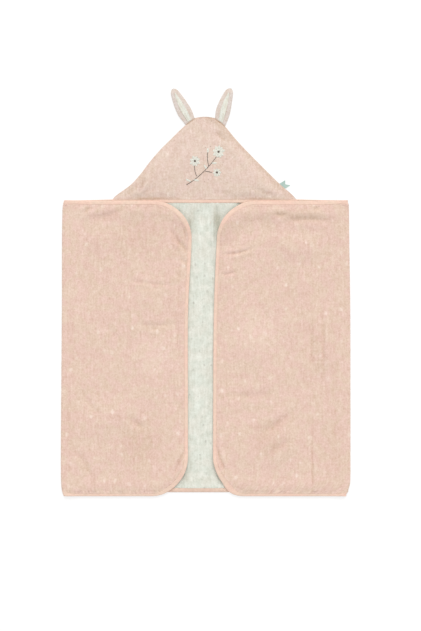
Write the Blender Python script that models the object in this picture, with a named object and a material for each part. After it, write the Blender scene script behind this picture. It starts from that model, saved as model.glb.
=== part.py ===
# Hooded baby bath towel, laid flat with both sides folded in over its back.
# Metres, +Z up. The origin is the middle of the towel's underside, and +Y runs to the hood.

from math import cos, hypot, pi, radians, sin, sqrt

import bmesh
import bpy
from mathutils import Vector

# Cloth walls
TERRY = 0.003
TERRY_PRESSED = 0.001  # the same terry where a tape holds it
EAR_CLOTH = 0.002
TAPE = 0.001
RIBBON = 0.001
GAP = 0.0003  # between pieces that are sewn together or lie on each other

# Body, cut as one rectangle with rounded corners
BODY_WIDTH = 1.300
BODY_HEIGHT = 0.700
BODY_CORNER = 0.092
FOLD_RADIUS = 0.0035  # middle of the wall, where a side turns over
FOLD_RELAX = 0.045  # how far the fold's bulge runs into the flap
HEM_BOW = 0.009  # how far the back's lower hem draws up between the flaps
HEM_BOW_REACH = 0.16
HEM_REST = 0.022  # a flap lies on the back's hem this far in from the edge
HEM_REST_RUN = 0.030  # how far it takes to come down to the back
EDGE_ZONE = 0.150  # how far from a side edge the grid follows the rounded corners
CUT_STEPS = (5, 5, 6, 12, 6, 5, 5)  # grid steps: edge, flap, fold, back, fold, flap, edge
CORNER_STEPS = 7
SIDE_STEPS = 13

# Bias tape, folded over an edge
TAPE_WIDTH = 0.010
HOOD_TAPE_WIDTH = 0.008
TAPE_SLOT = TERRY_PRESSED / 2 + GAP  # half of the slot that holds the terry
TAPE_HALF = TAPE_SLOT + TAPE
PRESSED_END = TAPE + GAP  # where the pressed terry ends inside the tape
PRESSED_START = 0.0007  # how far past the tape the terry starts to be pressed
PRESSED_RUN = 0.0036  # how far past the tape it has its full wall

# The body as it lies, from its top edge down:
# height, left fold, right fold, width of the left flap, how far the cloth gives over its width
LAID_ROWS = (
    (0.350, -0.3377, 0.3358, 0.3039, -0.008),
    (0.256, -0.3413, 0.3382, 0.3067, 0.002),
    (0.090, -0.3417, 0.3406, 0.2989, 0.006),
    (-0.122, -0.3432, 0.3410, 0.2999, 0.011),
    (-0.260, -0.3441, 0.3410, 0.3008, 0.013),
    (-0.350, -0.3425, 0.3363, 0.2992, 0.000),
)

# Soft swells of the flaps: x, y, half length, half width, turn in degrees, height
SWELLS = (
    (-0.250, 0.262, 0.080, 0.045, 14, 0.0025),
    (-0.140, 0.110, 0.110, 0.060, 80, 0.0020),
    (-0.225, -0.170, 0.110, 0.060, 20, 0.0025),
    (0.215, 0.240, 0.090, 0.045, -8, 0.0030),
    (0.283, 0.010, 0.120, 0.040, 88, 0.0030),
    (0.105, 0.010, 0.100, 0.065, 100, 0.0020),
    (0.170, -0.235, 0.090, 0.050, 25, 0.0025),
)

# Hood, from its lower edge up: height, left side, right side
HOOD_ROWS = (
    (0.3434, -0.2250, 0.2165),
    (0.3552, -0.2175, 0.2085),
    (0.3836, -0.1815, 0.1785),
    (0.4120, -0.1555, 0.1495),
    (0.4404, -0.1340, 0.1212),
    (0.4688, -0.1095, 0.0932),
    (0.4971, -0.0812, 0.0672),
    (0.5255, -0.0515, 0.0432),
    (0.5446, -0.0262, 0.0190),
)
HOOD_DOME = 0.004  # the top edge's rise between the ears
HOOD_DOME_RUN = 0.060
HOOD_NEAR = (0.0, 0.0018, 0.0048, 0.0100)  # grid lines beside the seam
HOOD_SLANT = 1.3  # how much longer those are along a row, across the slanted sides
HOOD_STEPS_UP = 11
HOOD_STEPS_ACROSS = 8
HOOD_PUFF = 0.0028  # how far the front stands off the back
HOOD_RIM = 0.0012  # wall at the side seams
HOOD_RIM_RUN = 0.010  # where the wall is full again
HOOD_REST = 0.012  # the flaps lie on the hood's hem this far in from their top edge
HOOD_REST_RUN = 0.065  # how far they take to come down from it
HOOD_REST_PAST = 0.030  # how far past the hood's corners they stay raised
HOOD_REST_FADE = 0.040
HOOD_HEM_RUN = 0.020  # how far the front takes to come down from the body's hem
HOOD_PUFF_RUN = 0.065  # how far in the front's puff is full

# Ears: name, side, lower and upper end of the root on the hood's side, tip x and y
EARS = (
    ("ear_left", -1, 0.5278, 0.5438, -0.0795, 0.6137),
    ("ear_right", 1, 0.5245, 0.5438, 0.0560, 0.6154),
)
# Ear outline: share of the length, half width, half width of the inner panel
EAR_ROWS = (
    (0.00, 0.0154, 0.0066),
    (0.15, 0.0165, 0.0074),
    (0.32, 0.0169, 0.0078),
    (0.52, 0.0156, 0.0068),
    (0.70, 0.0126, 0.0046),
    (0.84, 0.0092, 0.0018),
    (0.94, 0.0058, 0.0010),
    (1.00, 0.0020, 0.0010),
)
EAR_BEND = 0.0022  # how far the middle of the ear bows outward
EAR_PUFF = 0.0012
EAR_RIM = 0.0009
EAR_PANEL = 0.0010
EAR_PANEL_ENDS = (0.03, 0.86)  # shares of the length
EAR_ROOT = 0.30  # share of the length over which the ear leaves the hood's slanted side
EAR_TIP = 0.12  # share of the length over which it flattens out
EAR_ACROSS = (-1.0, -0.86, -0.5, 0.0, 0.5, 0.86, 1.0)
EAR_SHARES = (0.0, 0.09, 0.20, 0.32, 0.45, 0.58, 0.70, 0.81, 0.90, 0.96, 1.0)
PANEL_ACROSS = (-1.0, -0.6, 0.0, 0.6, 1.0)
PANEL_STEPS = 8

# Ribbon tab in the hood's right seam
RIBBON_ROOT = (0.3770, 0.3890)  # heights of its two edges on the hood's side
RIBBON_LENGTH = 0.016
RIBBON_NOTCH = 0.007
RIBBON_LEAN = (0.85, 0.53)  # the way it points
RIBBON_HEIGHTS = (0.0016, 0.0003)  # underside at the root and at the tips
RIBBON_STEPS = 4

# Colours: red, green, blue and alpha
PINK = (0.800, 0.590, 0.485, 1.0)
OFF_WHITE = (0.770, 0.765, 0.680, 1.0)
PEACH = (0.880, 0.640, 0.520, 1.0)
SAGE = (0.370, 0.510, 0.445, 1.0)


def ease(share):
    # 0 to 1 with soft ends
    share = min(max(share, 0.0), 1.0)
    return share * share * (3 - 2 * share)


def mix(first, second, share):
    return first + (second - first) * share


def read_rows(rows, at):
    # The columns of a table between its rows, on a smooth curve through them.
    ordered = sorted(rows)
    at = min(max(at, ordered[0][0]), ordered[-1][0])
    low = max(k for k in range(len(ordered) - 1) if ordered[k][0] <= at)
    first, last = ordered[low], ordered[low + 1]
    span = last[0] - first[0]
    share = (at - first[0]) / span

    def slope(k, column):
        before, after = ordered[max(k - 1, 0)], ordered[min(k + 1, len(ordered) - 1)]
        return (after[column] - before[column]) / (after[0] - before[0])

    values = []
    for column in range(1, len(first)):
        start, end = first[column], last[column]
        leave, arrive = slope(low, column) * span, slope(low + 1, column) * span
        curve = 2 * start - 2 * end + leave + arrive
        bend = 3 * end - 3 * start - 2 * leave - arrive
        values.append(((curve * share + bend) * share + leave) * share + start)
    return values


# ---- Body ----


def section(v):
    # The folded cross-section at height v: straight lengths and the centres of the two folds.
    left_fold, right_fold, left_flap, give = read_rows(LAID_ROWS, v)
    inset = TERRY / 2 + FOLD_RADIUS
    left_centre, right_centre = left_fold + inset, right_fold - inset
    arc = pi * FOLD_RADIUS
    left = left_flap - inset
    back = right_centre - left_centre
    right = BODY_WIDTH + give - left - back - 2 * arc
    return left, back, right, left_centre, right_centre


def back_height(v):
    # Middle of the back's wall: higher at the hems, whose tape lies on the surface.
    past_tape = BODY_HEIGHT / 2 - abs(v) - TAPE_WIDTH
    return mix(TAPE_HALF, TERRY / 2, ease(past_tape / PRESSED_RUN))


def swell_height(x, y):
    height = 0.0
    for centre_x, centre_y, half_length, half_width, turn, rise in SWELLS:
        along = (x - centre_x) * cos(radians(turn)) + (y - centre_y) * sin(radians(turn))
        across = (y - centre_y) * cos(radians(turn)) - (x - centre_x) * sin(radians(turn))
        height += rise * (1 - ease(hypot(along / half_length, across / half_width)))
    return height


def flap_height(x, v, from_fold):
    # Middle of a flap's wall. It lies on the back, on the back's hems and on the hood's hem.
    level = TERRY + GAP + TAPE_HALF
    from_hem = BODY_HEIGHT / 2 - abs(v)
    level += (2 * TAPE_HALF - TERRY) * (1 - ease((from_hem - HEM_REST) / HEM_REST_RUN))
    hood_left, hood_right = HOOD_ROWS[0][1:]
    past_hood = abs(x - (hood_left + hood_right) / 2) - (hood_right - hood_left) / 2
    over_hood = 1 - ease((past_hood - HOOD_REST_PAST) / HOOD_REST_FADE)
    near_top = 1 - ease((BODY_HEIGHT / 2 - v - HOOD_REST) / HOOD_REST_RUN)
    level += (2 * TAPE_HALF + GAP) * over_hood * near_top
    bulge = back_height(v) + 2 * FOLD_RADIUS - level
    level += bulge * (1 - ease(from_fold / FOLD_RELAX))
    return level + swell_height(x, v) * ease(from_fold / FOLD_RELAX)


def body_point(u, v):
    # A point of the flat cut, u from its left edge and v from its middle, as the body lies folded.
    left, back, right, left_centre, right_centre = section(v)
    arc = pi * FOLD_RADIUS
    middle = back_height(v)
    if u < left:
        x = left_centre + left - u
        return Vector((x, v, flap_height(x, v, left - u)))
    u -= left
    if u < arc:
        turn = u / FOLD_RADIUS
        x = left_centre - FOLD_RADIUS * sin(turn)
        return Vector((x, v, middle + FOLD_RADIUS * (1 + cos(turn))))
    u -= arc
    if u < back:
        reach = ease(min(u, back - u) / (back / 3))
        low = 1 - ease((v + BODY_HEIGHT / 2) / HEM_BOW_REACH)
        return Vector((left_centre + u, v + HEM_BOW * reach * low, middle))
    u -= back
    if u < arc:
        turn = u / FOLD_RADIUS
        x = right_centre + FOLD_RADIUS * sin(turn)
        return Vector((x, v, middle + FOLD_RADIUS * (1 - cos(turn))))
    u -= arc
    x = right_centre - u
    return Vector((x, v, flap_height(x, v, u)))


def body_frame(u, v):
    # A point of the laid body and the way its outer face looks there.
    step = FOLD_RADIUS / 9
    along_u = body_point(u + step, v) - body_point(u - step, v)
    along_v = body_point(u, v + step) - body_point(u, v - step)
    return body_point(u, v), along_v.cross(along_u).normalized()


def cut_columns(v, inset):
    # Positions across the cut at height v, from the left edge moved in by the inset.
    left, back, right, _, _ = section(v)
    arc = pi * FOLD_RADIUS
    total = left + arc + back + arc + right
    end = corner_inset(v, inset)
    stops = (end, EDGE_ZONE, left, left + arc, left + arc + back, total - right)
    stops += (total - EDGE_ZONE, total - end)
    columns = []
    for start, stop, steps in zip(stops, stops[1:], CUT_STEPS):
        columns += [mix(start, stop, k / steps) for k in range(steps)]
    return columns + [total - end]


def corner_inset(v, inset):
    # How far from the cut's side the inset outline runs at height v.
    radius = BODY_CORNER - inset
    into_corner = abs(v) - (BODY_HEIGHT / 2 - BODY_CORNER)
    if into_corner <= 0:
        return inset
    return inset + radius - sqrt(max(radius**2 - into_corner**2, 0.0))


def cut_rows(inset):
    # Heights of the grid's rows: even along the sides, by angle in the corners.
    centre = BODY_HEIGHT / 2 - BODY_CORNER
    radius = BODY_CORNER - inset
    turns = [pi / 2 * k / CORNER_STEPS for k in range(1, CORNER_STEPS + 1)]
    corner = [centre + radius * sin(turn) for turn in turns]
    side = [mix(-centre, centre, k / SIDE_STEPS) for k in range(SIDE_STEPS + 1)]
    return [-v for v in corner[::-1]] + side + corner


def grid_faces(rows, columns):
    return [
        (i * columns + j, i * columns + j + 1, (i + 1) * columns + j + 1, (i + 1) * columns + j)
        for i in range(rows - 1)
        for j in range(columns - 1)
    ]


def grid_rim(rows, columns):
    # The grid's edge points in order, all the way round.
    lower = list(range(columns))
    right = [i * columns + columns - 1 for i in range(1, rows)]
    upper = [(rows - 1) * columns + j for j in range(columns - 2, -1, -1)]
    left = [i * columns for i in range(rows - 2, 0, -1)]
    return lower + right + upper + left


def edge_way(u, v):
    # The way straight out of the cut at an edge point of the grid.
    left, back, right, _, _ = section(v)
    total = left + back + right + 2 * pi * FOLD_RADIUS
    centre = BODY_HEIGHT / 2 - BODY_CORNER
    from_side = u if u < total / 2 else total - u
    across = max(BODY_CORNER - from_side, 0.0) * (-1 if u < total / 2 else 1)
    up = max(abs(v) - centre, 0.0) * (1 if v > 0 else -1)
    length = hypot(across, up)
    return across / length, up / length


def cut_grid():
    # The flat cut as a grid that ends just inside the tape, and its outline beside that.
    inset = TAPE_WIDTH + PRESSED_RUN
    rows = cut_rows(inset)
    points = [(u, v) for v in rows for u in cut_columns(v, inset)]
    columns = len(points) // len(rows)
    rim = grid_rim(len(rows), columns)
    outline = []
    for k in rim:
        u, v = points[k]
        across, up = edge_way(u, v)
        outline.append((u + across * inset, v + up * inset, -across, -up))
    return points, len(rows), columns, rim, outline


def tape_frames(outline):
    # At each outline point: the tape's fold and its free edge, with the wall's outward way.
    frames = []
    for u, v, across, up in outline:
        fold, fold_way = body_frame(u + across * TAPE, v + up * TAPE)
        edge, edge_way_out = body_frame(u + across * TAPE_WIDTH, v + up * TAPE_WIDTH)
        inward = (edge - fold) / (TAPE_WIDTH - TAPE)
        frames.append((fold - inward * TAPE, inward, fold_way, edge_way_out))
    return frames


def tape_section(width):
    # The tape's cross-section: distance in from its fold, and height off the cloth's middle.
    side = [(width, TAPE_HALF), (TAPE, TAPE_HALF), (TAPE * 0.3, TAPE_HALF * 0.7)]
    inside = [(width, TAPE_SLOT), (TAPE, TAPE_SLOT)]
    lower = [(depth, -height) for depth, height in side[::-1]]
    under_inside = [(depth, -height) for depth, height in inside]
    return side + [(0.0, 0.0)] + lower + under_inside + inside[::-1]


def tape_point(frame, width, depth, height):
    fold, inward, fold_way, edge_way_out = frame
    way = fold_way.lerp(edge_way_out, depth / width)
    return fold + inward * depth + way * height


# ---- Meshes ----


def finish(name, mesh_data, colour):
    bmesh.ops.recalc_face_normals(mesh_data, faces=mesh_data.faces)
    mesh = bpy.data.meshes.new(name)
    mesh_data.to_mesh(mesh)
    mesh_data.free()
    mesh.shade_smooth()
    mesh.set_sharp_from_angle(angle=radians(50))
    piece = bpy.data.objects.new(name, mesh)
    bpy.context.scene.collection.objects.link(piece)
    material = bpy.data.materials.new(name)
    material.use_nodes = True
    shader = material.node_tree.nodes["Principled BSDF"]
    shader.inputs["Base Color"].default_value = colour
    shader.inputs["Roughness"].default_value = 0.95
    shader.inputs["Metallic"].default_value = 0.0
    mesh.materials.append(material)
    return piece


def cloth(name, outer, inner, faces, rim, colour):
    # A closed wall between two layers of points that share the same faces.
    data = bmesh.new()
    top = [data.verts.new(point) for point in outer]
    bottom = [data.verts.new(point) for point in inner]
    for face in faces:
        data.faces.new([top[k] for k in face])
        data.faces.new([bottom[k] for k in reversed(face)])
    for here, after in zip(rim, rim[1:] + rim[:1]):
        data.faces.new((top[here], bottom[here], bottom[after], top[after]))
    return finish(name, data, colour)


def strip_faces(inner, outer, after_inner, after_outer):
    # Two triangles that lean the same way in the terry and in its tape, so that they stay parallel.
    return (inner, outer, after_outer), (inner, after_outer, after_inner)


def tape_solid(name, rings, section, closed, colour):
    # A tape through rings of points, run round into itself or capped at both ends.
    data = bmesh.new()
    loops = [[data.verts.new(point) for point in ring] for ring in rings]
    count = len(section)
    for first, second in zip(loops, loops[1:] + loops[:1] if closed else loops[1:]):
        for k in range(count):
            here, there = k, (k + 1) % count
            if section[here][0] < section[there][0]:
                here, there = there, here
            for face in strip_faces(first[here], first[there], second[here], second[there]):
                data.faces.new(face)
    if not closed:
        caps = [data.faces.new(loops[0]), data.faces.new(loops[-1][::-1])]
        bmesh.ops.triangulate(data, faces=caps)
    return finish(name, data, colour)


def make_body():
    points, rows, columns, rim, outline = cut_grid()
    frames = [body_frame(u, v) for u, v in points]
    outer = [place + way * TERRY / 2 for place, way in frames]
    inner = [place - way * TERRY / 2 for place, way in frames]
    faces = grid_faces(rows, columns)
    tapes = tape_frames(outline)
    for depth in (TAPE_WIDTH + PRESSED_START, PRESSED_END):
        start = len(outer)
        for tape in tapes:
            outer.append(tape_point(tape, TAPE_WIDTH, depth, TERRY_PRESSED / 2))
            inner.append(tape_point(tape, TAPE_WIDTH, depth, -TERRY_PRESSED / 2))
        ring = list(range(start, len(outer)))
        for k in range(len(ring)):
            after = (k + 1) % len(ring)
            faces.extend(strip_faces(rim[k], ring[k], rim[after], ring[after]))
        rim = ring
    cloth("towel_body", outer, inner, faces, rim, PINK)
    tape_outline = tape_section(TAPE_WIDTH)
    rings = [[tape_point(tape, TAPE_WIDTH, *at) for at in tape_outline] for tape in tapes]
    tape_solid("body_binding", rings, tape_outline, True, PEACH)


# ---- Hood ----


def hood_side(side, y):
    left, right = read_rows(HOOD_ROWS, y)
    return left if side < 0 else right


def hood_side_way(side, y):
    # The way out of the hood at its side seam.
    step = 0.001
    run = hood_side(side, y + step) - hood_side(side, y - step)
    return Vector((side * 2 * step, -side * run, 0.0)).normalized()


def hood_grid(bottom_rows, bottom_y):
    # Points across the hood, row by row, each with its distance from the seam round its outline.
    top = HOOD_ROWS[-1][0]
    start, stop = bottom_y + bottom_rows[-1], top - HOOD_NEAR[-1]
    heights = [bottom_y + rise for rise in bottom_rows]
    heights += [mix(start, stop, k / HOOD_STEPS_UP) for k in range(1, HOOD_STEPS_UP + 1)]
    heights += [top - inset for inset in HOOD_NEAR[-2::-1]]
    points = []
    for y in heights:
        left, right = read_rows(HOOD_ROWS, y)
        near = [inset * HOOD_SLANT for inset in HOOD_NEAR]
        start, stop = left + near[-1], right - near[-1]
        xs = [left + inset for inset in near]
        xs += [mix(start, stop, k / HOOD_STEPS_ACROSS) for k in range(1, HOOD_STEPS_ACROSS)]
        xs += [right - inset for inset in near[::-1]]
        for x in xs:
            across = 2 * (x - left) / (right - left) - 1
            raised = HOOD_DOME * (1 - across**2) * ease(1 - (top - y) / HOOD_DOME_RUN)
            points.append((x, y + raised, seam_distance(x, y)))
    return points, len(heights), len(xs)


def seam_distance(x, y):
    left, right = hood_side(-1, y), hood_side(1, y)
    sides = [(x - left) * -hood_side_way(-1, y).x, (right - x) * hood_side_way(1, y).x]
    return max(min(sides + [HOOD_ROWS[-1][0] - y]), 0.0)


def hood_wall(distance):
    # The wall, rounded off towards the seam.
    share = min(distance / HOOD_RIM_RUN, 1.0)
    return mix(HOOD_RIM, TERRY, sqrt(1 - (1 - share) ** 2))


def hood_front_base(x, y, distance):
    # The front's lower face: on the body's hem at its lower edge, off the back in its middle.
    floor = TERRY + GAP
    lower = HOOD_ROWS[0][0]
    on_hem = 1 - ease((y - lower - HOOD_TAPE_WIDTH) / HOOD_HEM_RUN)
    raised = 2 * TAPE_HALF + GAP + TAPE_HALF - TERRY / 2 - floor
    above_hem = y - lower - HOOD_TAPE_WIDTH
    puff = HOOD_PUFF * ease(distance / HOOD_PUFF_RUN) * ease(above_hem / HOOD_PUFF_RUN)
    return floor + raised * on_hem + puff


def make_hood():
    lower = HOOD_ROWS[0][0]
    body_top = BODY_HEIGHT / 2 + GAP
    points, rows, columns = hood_grid((0.0,), body_top)
    outer = [Vector((x, y, TERRY)) for x, y, _ in points]
    inner = [Vector((x, y, TERRY - hood_wall(distance))) for x, y, distance in points]
    cloth("hood_back", outer, inner, grid_faces(rows, columns), grid_rim(rows, columns), PINK)

    depths = (PRESSED_END, HOOD_TAPE_WIDTH + PRESSED_START, HOOD_TAPE_WIDTH + PRESSED_RUN)
    points, rows, columns = hood_grid(depths, lower)
    hem_middle = 2 * TAPE_HALF + GAP + TAPE_HALF
    outer, inner = [], []
    for k, (x, y, distance) in enumerate(points):
        if k < 2 * columns:
            base, wall = hem_middle - TERRY_PRESSED / 2, TERRY_PRESSED
        else:
            base, wall = hood_front_base(x, y, distance), hood_wall(distance)
        outer.append(Vector((x, y, base + wall)))
        inner.append(Vector((x, y, base)))
    cloth("hood_front", outer, inner, grid_faces(rows, columns), grid_rim(rows, columns), PINK)

    outline = tape_section(HOOD_TAPE_WIDTH)
    xs = [mix(*HOOD_ROWS[0][1:], k / HOOD_STEPS_UP) for k in range(HOOD_STEPS_UP + 1)]
    rings = [[Vector((x, lower + depth, hem_middle + rise)) for depth, rise in outline] for x in xs]
    tape_solid("hood_binding", rings, outline, False, PEACH)


# ---- Ears ----


def ear_point(ear, share, across, half_width):
    # A point of the ear, share of its length from the root, across from -1 inner to 1 outer.
    _, side, low, high, tip_x, tip_y = ear
    y = mix(high, low, (across * half_width / EAR_ROWS[0][1] + 1) / 2)
    root = Vector((hood_side(side, y), y, 0.0)) + hood_side_way(side, y) * GAP
    middle_y = (low + high) / 2
    middle = Vector((hood_side(side, middle_y), middle_y, 0.0))
    middle += hood_side_way(side, middle_y) * GAP
    tip = Vector((tip_x, tip_y, 0.0))
    along = tip - middle
    outward = Vector((along.y, -along.x, 0.0)).normalized() * side
    bend = EAR_BEND * sin(pi * share)
    free = middle + along * share + outward * (across * half_width + bend)
    clear = ease(share / EAR_ROOT)
    return root.lerp(free, clear) + along * share * (1 - clear)


def ear_pillow(share, across):
    # 1 over the middle of the ear, 0 at its rim.
    return sqrt(max(1 - across**4, 0.0)) * ease((1 - share) / EAR_TIP)


def ear_front_faces(share, across):
    pillow = ear_pillow(share, across)
    base = EAR_CLOTH + GAP + EAR_PUFF * pillow * ease(share / EAR_ROOT)
    return base, base + mix(EAR_RIM, EAR_CLOTH, pillow)


def make_ear(ear):
    name = ear[0]
    layers = {"back": ([], []), "front": ([], [])}
    for share in EAR_SHARES:
        half_width = read_rows(EAR_ROWS, share)[0]
        for across in EAR_ACROSS:
            place = ear_point(ear, share, across, half_width)
            wall = mix(EAR_RIM, EAR_CLOTH, ear_pillow(share, across))
            low, high = ear_front_faces(share, across)
            layers["back"][0].append(place + Vector((0, 0, EAR_CLOTH)))
            layers["back"][1].append(place + Vector((0, 0, EAR_CLOTH - wall)))
            layers["front"][0].append(place + Vector((0, 0, high)))
            layers["front"][1].append(place + Vector((0, 0, low)))
    size = len(EAR_SHARES), len(EAR_ACROSS)
    for layer, (outer, inner) in layers.items():
        cloth(f"{name}_{layer}", outer, inner, grid_faces(*size), grid_rim(*size), PINK)
    make_ear_panel(ear)


def make_ear_panel(ear):
    # The inner panel, made from the ear front's own points, moved out.
    outer, inner = [], []
    for k in range(PANEL_STEPS + 1):
        share = mix(*EAR_PANEL_ENDS, k / PANEL_STEPS)
        ear_half, panel_half = read_rows(EAR_ROWS, share)
        for across in PANEL_ACROSS:
            place = ear_point(ear, share, across, panel_half)
            top = ear_front_faces(share, across * panel_half / ear_half)[1]
            outer.append(place + Vector((0, 0, top + GAP + EAR_PANEL)))
            inner.append(place + Vector((0, 0, top + GAP)))
    size = PANEL_STEPS + 1, len(PANEL_ACROSS)
    cloth(f"{ear[0]}_inner", outer, inner, grid_faces(*size), grid_rim(*size), OFF_WHITE)


def make_ribbon():
    # Three lines of points: its two edges and the middle, which is cut back by the notch.
    lean = Vector((*RIBBON_LEAN, 0.0)).normalized()
    outer, inner = [], []
    for share, cut_back in ((0.0, 0.0), (0.5, RIBBON_NOTCH), (1.0, 0.0)):
        y = mix(*RIBBON_ROOT, share)
        root = Vector((hood_side(1, y), y, 0.0)) + hood_side_way(1, y) * GAP
        for step in range(RIBBON_STEPS + 1):
            reach = (RIBBON_LENGTH - cut_back) * step / RIBBON_STEPS
            height = mix(*RIBBON_HEIGHTS, ease(reach / RIBBON_LENGTH))
            outer.append(root + lean * reach + Vector((0, 0, height + RIBBON)))
            inner.append(root + lean * reach + Vector((0, 0, height)))
    size = 3, RIBBON_STEPS + 1
    cloth("side_ribbon", outer, inner, grid_faces(*size), grid_rim(*size), SAGE)


for old in list(bpy.data.objects):
    bpy.data.objects.remove(old)
make_body()
make_hood()
for ear in EARS:
    make_ear(ear)
make_ribbon()
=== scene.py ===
from math import pi, radians

import bmesh
import bpy
import numpy as np
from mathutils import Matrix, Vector


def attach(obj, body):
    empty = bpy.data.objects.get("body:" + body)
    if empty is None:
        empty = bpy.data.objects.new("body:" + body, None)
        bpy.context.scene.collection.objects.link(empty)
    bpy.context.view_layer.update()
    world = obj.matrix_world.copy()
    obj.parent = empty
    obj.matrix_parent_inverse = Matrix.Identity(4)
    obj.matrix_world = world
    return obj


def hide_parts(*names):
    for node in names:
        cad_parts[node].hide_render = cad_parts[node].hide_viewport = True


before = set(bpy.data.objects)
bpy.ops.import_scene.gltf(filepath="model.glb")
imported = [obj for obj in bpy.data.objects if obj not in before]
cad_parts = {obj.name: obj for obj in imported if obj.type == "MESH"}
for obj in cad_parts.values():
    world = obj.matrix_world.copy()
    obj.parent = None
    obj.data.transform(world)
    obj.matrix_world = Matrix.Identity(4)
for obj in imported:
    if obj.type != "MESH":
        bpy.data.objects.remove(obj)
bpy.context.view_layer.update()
seeded = np.random.default_rng(41)
upward = np.array([0.0, 0.0, 1.0])
gap = 0.0003  # between pieces that are sewn together or lie on each other
flatCut = "flatCut"  # name of the UV map that holds each piece's flat cut, in metres
napAndPaintedShade = "napAndPaintedShade"  # painted shade at each point, above 0, and painted light, below 0, partly standing for the pile's nap


def ease(share):
    share = np.clip(share, 0.0, 1.0)
    return share * share * (3 - 2 * share)


def grow(place, start, run):
    # 0 up to start, rising softly to 1 at the end of the run
    return ease((place - start) / run)


def fade(place, start, run):
    return 1 - grow(place, start, run)


def hump(share):
    # 1 at 0, falling softly to 0 at 1
    return 1 - ease(np.abs(share))


def mix(first, second, share):
    return first + (second - first) * share


def unit(vectors):
    return vectors / np.linalg.norm(vectors, axis=-1, keepdims=True)


def points(x, y, z=0.0):
    return np.stack(np.broadcast_arrays(x, y, z), -1).astype(float)


def pairs(first, second):
    # Every pair of two lists' values, as two columns
    return (grid.ravel() for grid in np.meshgrid(first, second, indexing="ij"))


def readTable(rows, at):
    # The columns of a table between its rows, on a smooth curve through them
    table = np.array(sorted(rows), float)
    keys, values = table[:, 0], table[:, 1:]
    ends = np.pad(table, ((1, 1), (0, 0)), "edge")
    around = ends[2:] - ends[:-2]
    slopes = around[:, 1:] / around[:, :1]
    at = np.clip(np.asarray(at, float), keys[0], keys[-1])
    low = np.clip(np.searchsorted(keys, at, "right") - 1, 0, len(keys) - 2)
    span = (keys[low + 1] - keys[low])[..., None]
    share = (at - keys[low])[..., None] / span
    start, end = values[low], values[low + 1]
    leave, arrive = slopes[low] * span, slopes[low + 1] * span
    curve = 2 * start - 2 * end + leave + arrive
    bend = 3 * end - 3 * start - 2 * leave - arrive
    found = ((curve * share + bend) * share + leave) * share + start
    return np.moveaxis(found, -1, 0)


def ripple(place, wave, seed):
    # An uneven wave between -1 and 1, from three sines that never meet
    turn = 2 * pi * place / wave
    main = 0.5 * np.sin(turn + seed + 1.6 * np.sin(turn * 0.23 + seed * 1.7))
    return main + 0.3 * np.sin(turn * 0.61 + seed * 2.3) + 0.2 * np.sin(turn * 1.73 + seed * 0.7)


crease = {
    "ends": (0.35, 0.3),  # share of its rise at its ends, and share of its length to the full one
    "shoulder": (0.32, 1.7, 1.1),  # beside it: share of its rise, place and run in half widths
    "fullShadeDepth": 0.0032,  # a trough this deep gets the full painted shade
    # painted light on ridges, down to -0.6, and painted shade in troughs, up to 0.9
    "shadeLimits": (-0.6, 0.9),
}


def creaseRelief(x, y, rows):
    # Rows: x and y of both ends, bow of the middle, half width, rise (negative is a trough)
    atEnds, endRun = crease["ends"]
    shoulder, place, run = crease["shoulder"]
    relief = np.zeros(np.shape(x))
    for startX, startY, endX, endY, bow, halfWidth, rise in rows:
        alongX, alongY = endX - startX, endY - startY
        length = np.hypot(alongX, alongY)
        along = ((x - startX) * alongX + (y - startY) * alongY) / length**2
        inside = np.clip(along, 0.0, 1.0)
        off = ((x - startX) * alongY - (y - startY) * alongX) / length - bow * 4 * inside * (1 - inside)
        distance = np.hypot(off, (along - inside) * length) / halfWidth
        level = mix(atEnds, 1.0, ease(np.minimum(inside, 1 - inside) / endRun))
        relief = relief + rise * level * (hump(distance) - shoulder * hump((distance - place) / run))
    return relief


def softPatches(x, y, rows):
    # Rows: x, y, half length, half width, turn in degrees, rise
    height = np.zeros(np.shape(x))
    for centreX, centreY, halfLength, halfWidth, turn, rise in rows:
        cosine, sine = np.cos(radians(turn)), np.sin(radians(turn))
        along = (x - centreX) * cosine + (y - centreY) * sine
        across = (y - centreY) * cosine - (x - centreX) * sine
        height = height + rise * hump(np.hypot(along / halfLength, across / halfWidth))
    return height


def creaseShadeAndNap(x, y, piece):
    # Painted shade in a piece's troughs, painted light on its ridges, and its rows of painted light and
    # shade, partly nap
    troughs = -creaseRelief(x, y, piece["creases"]) / crease["fullShadeDepth"]
    return np.clip(troughs, *crease["shadeLimits"]) + softPatches(x, y, piece["napAndShade"])


def gridFaces(rows, columns):
    across, up = np.meshgrid(np.arange(columns - 1), np.arange(rows - 1))
    first = (up * columns + across).ravel()
    return np.stack([first, first + 1, first + columns + 1, first + columns], -1)


def gridRim(rows, columns):
    # The grid's edge points in order, all the way round
    lower = np.arange(columns)
    right = np.arange(1, rows) * columns + columns - 1
    upper = (rows - 1) * columns + np.arange(columns - 2, -1, -1)
    left = np.arange(rows - 2, 0, -1) * columns
    return np.concatenate([lower, right, upper, left])


def stripFaces(rim, ring):
    # Quads between two closed rings of the same length
    return np.stack([rim, ring, np.roll(ring, -1), np.roll(rim, -1)], -1)


def tubeFaces(here, ahead):
    # Quads between closed rings of points and the next rings
    sides = [here, np.roll(here, -1, -1), np.roll(ahead, -1, -1), ahead]
    return np.stack(sides, -1).reshape(-1, 4).tolist()


def bridgeFaces(first, firstAlong, second, secondAlong):
    # Triangles between two closed rings of different lengths that start at the same place
    faces = []
    i = j = 0
    while i < len(first) or j < len(second):
        nextFirst = firstAlong[i + 1] if i < len(first) else np.inf
        nextSecond = secondAlong[j + 1] if j < len(second) else np.inf
        here, there = first[i % len(first)], second[j % len(second)]
        if nextFirst <= nextSecond:
            i += 1
            faces.append([here, first[i % len(first)], there])
        else:
            j += 1
            faces.append([here, second[j % len(second)], there])
    return faces


def inScene(name, data):
    made = bpy.data.objects.new(name, data)
    bpy.context.scene.collection.objects.link(made)
    return made


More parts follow.
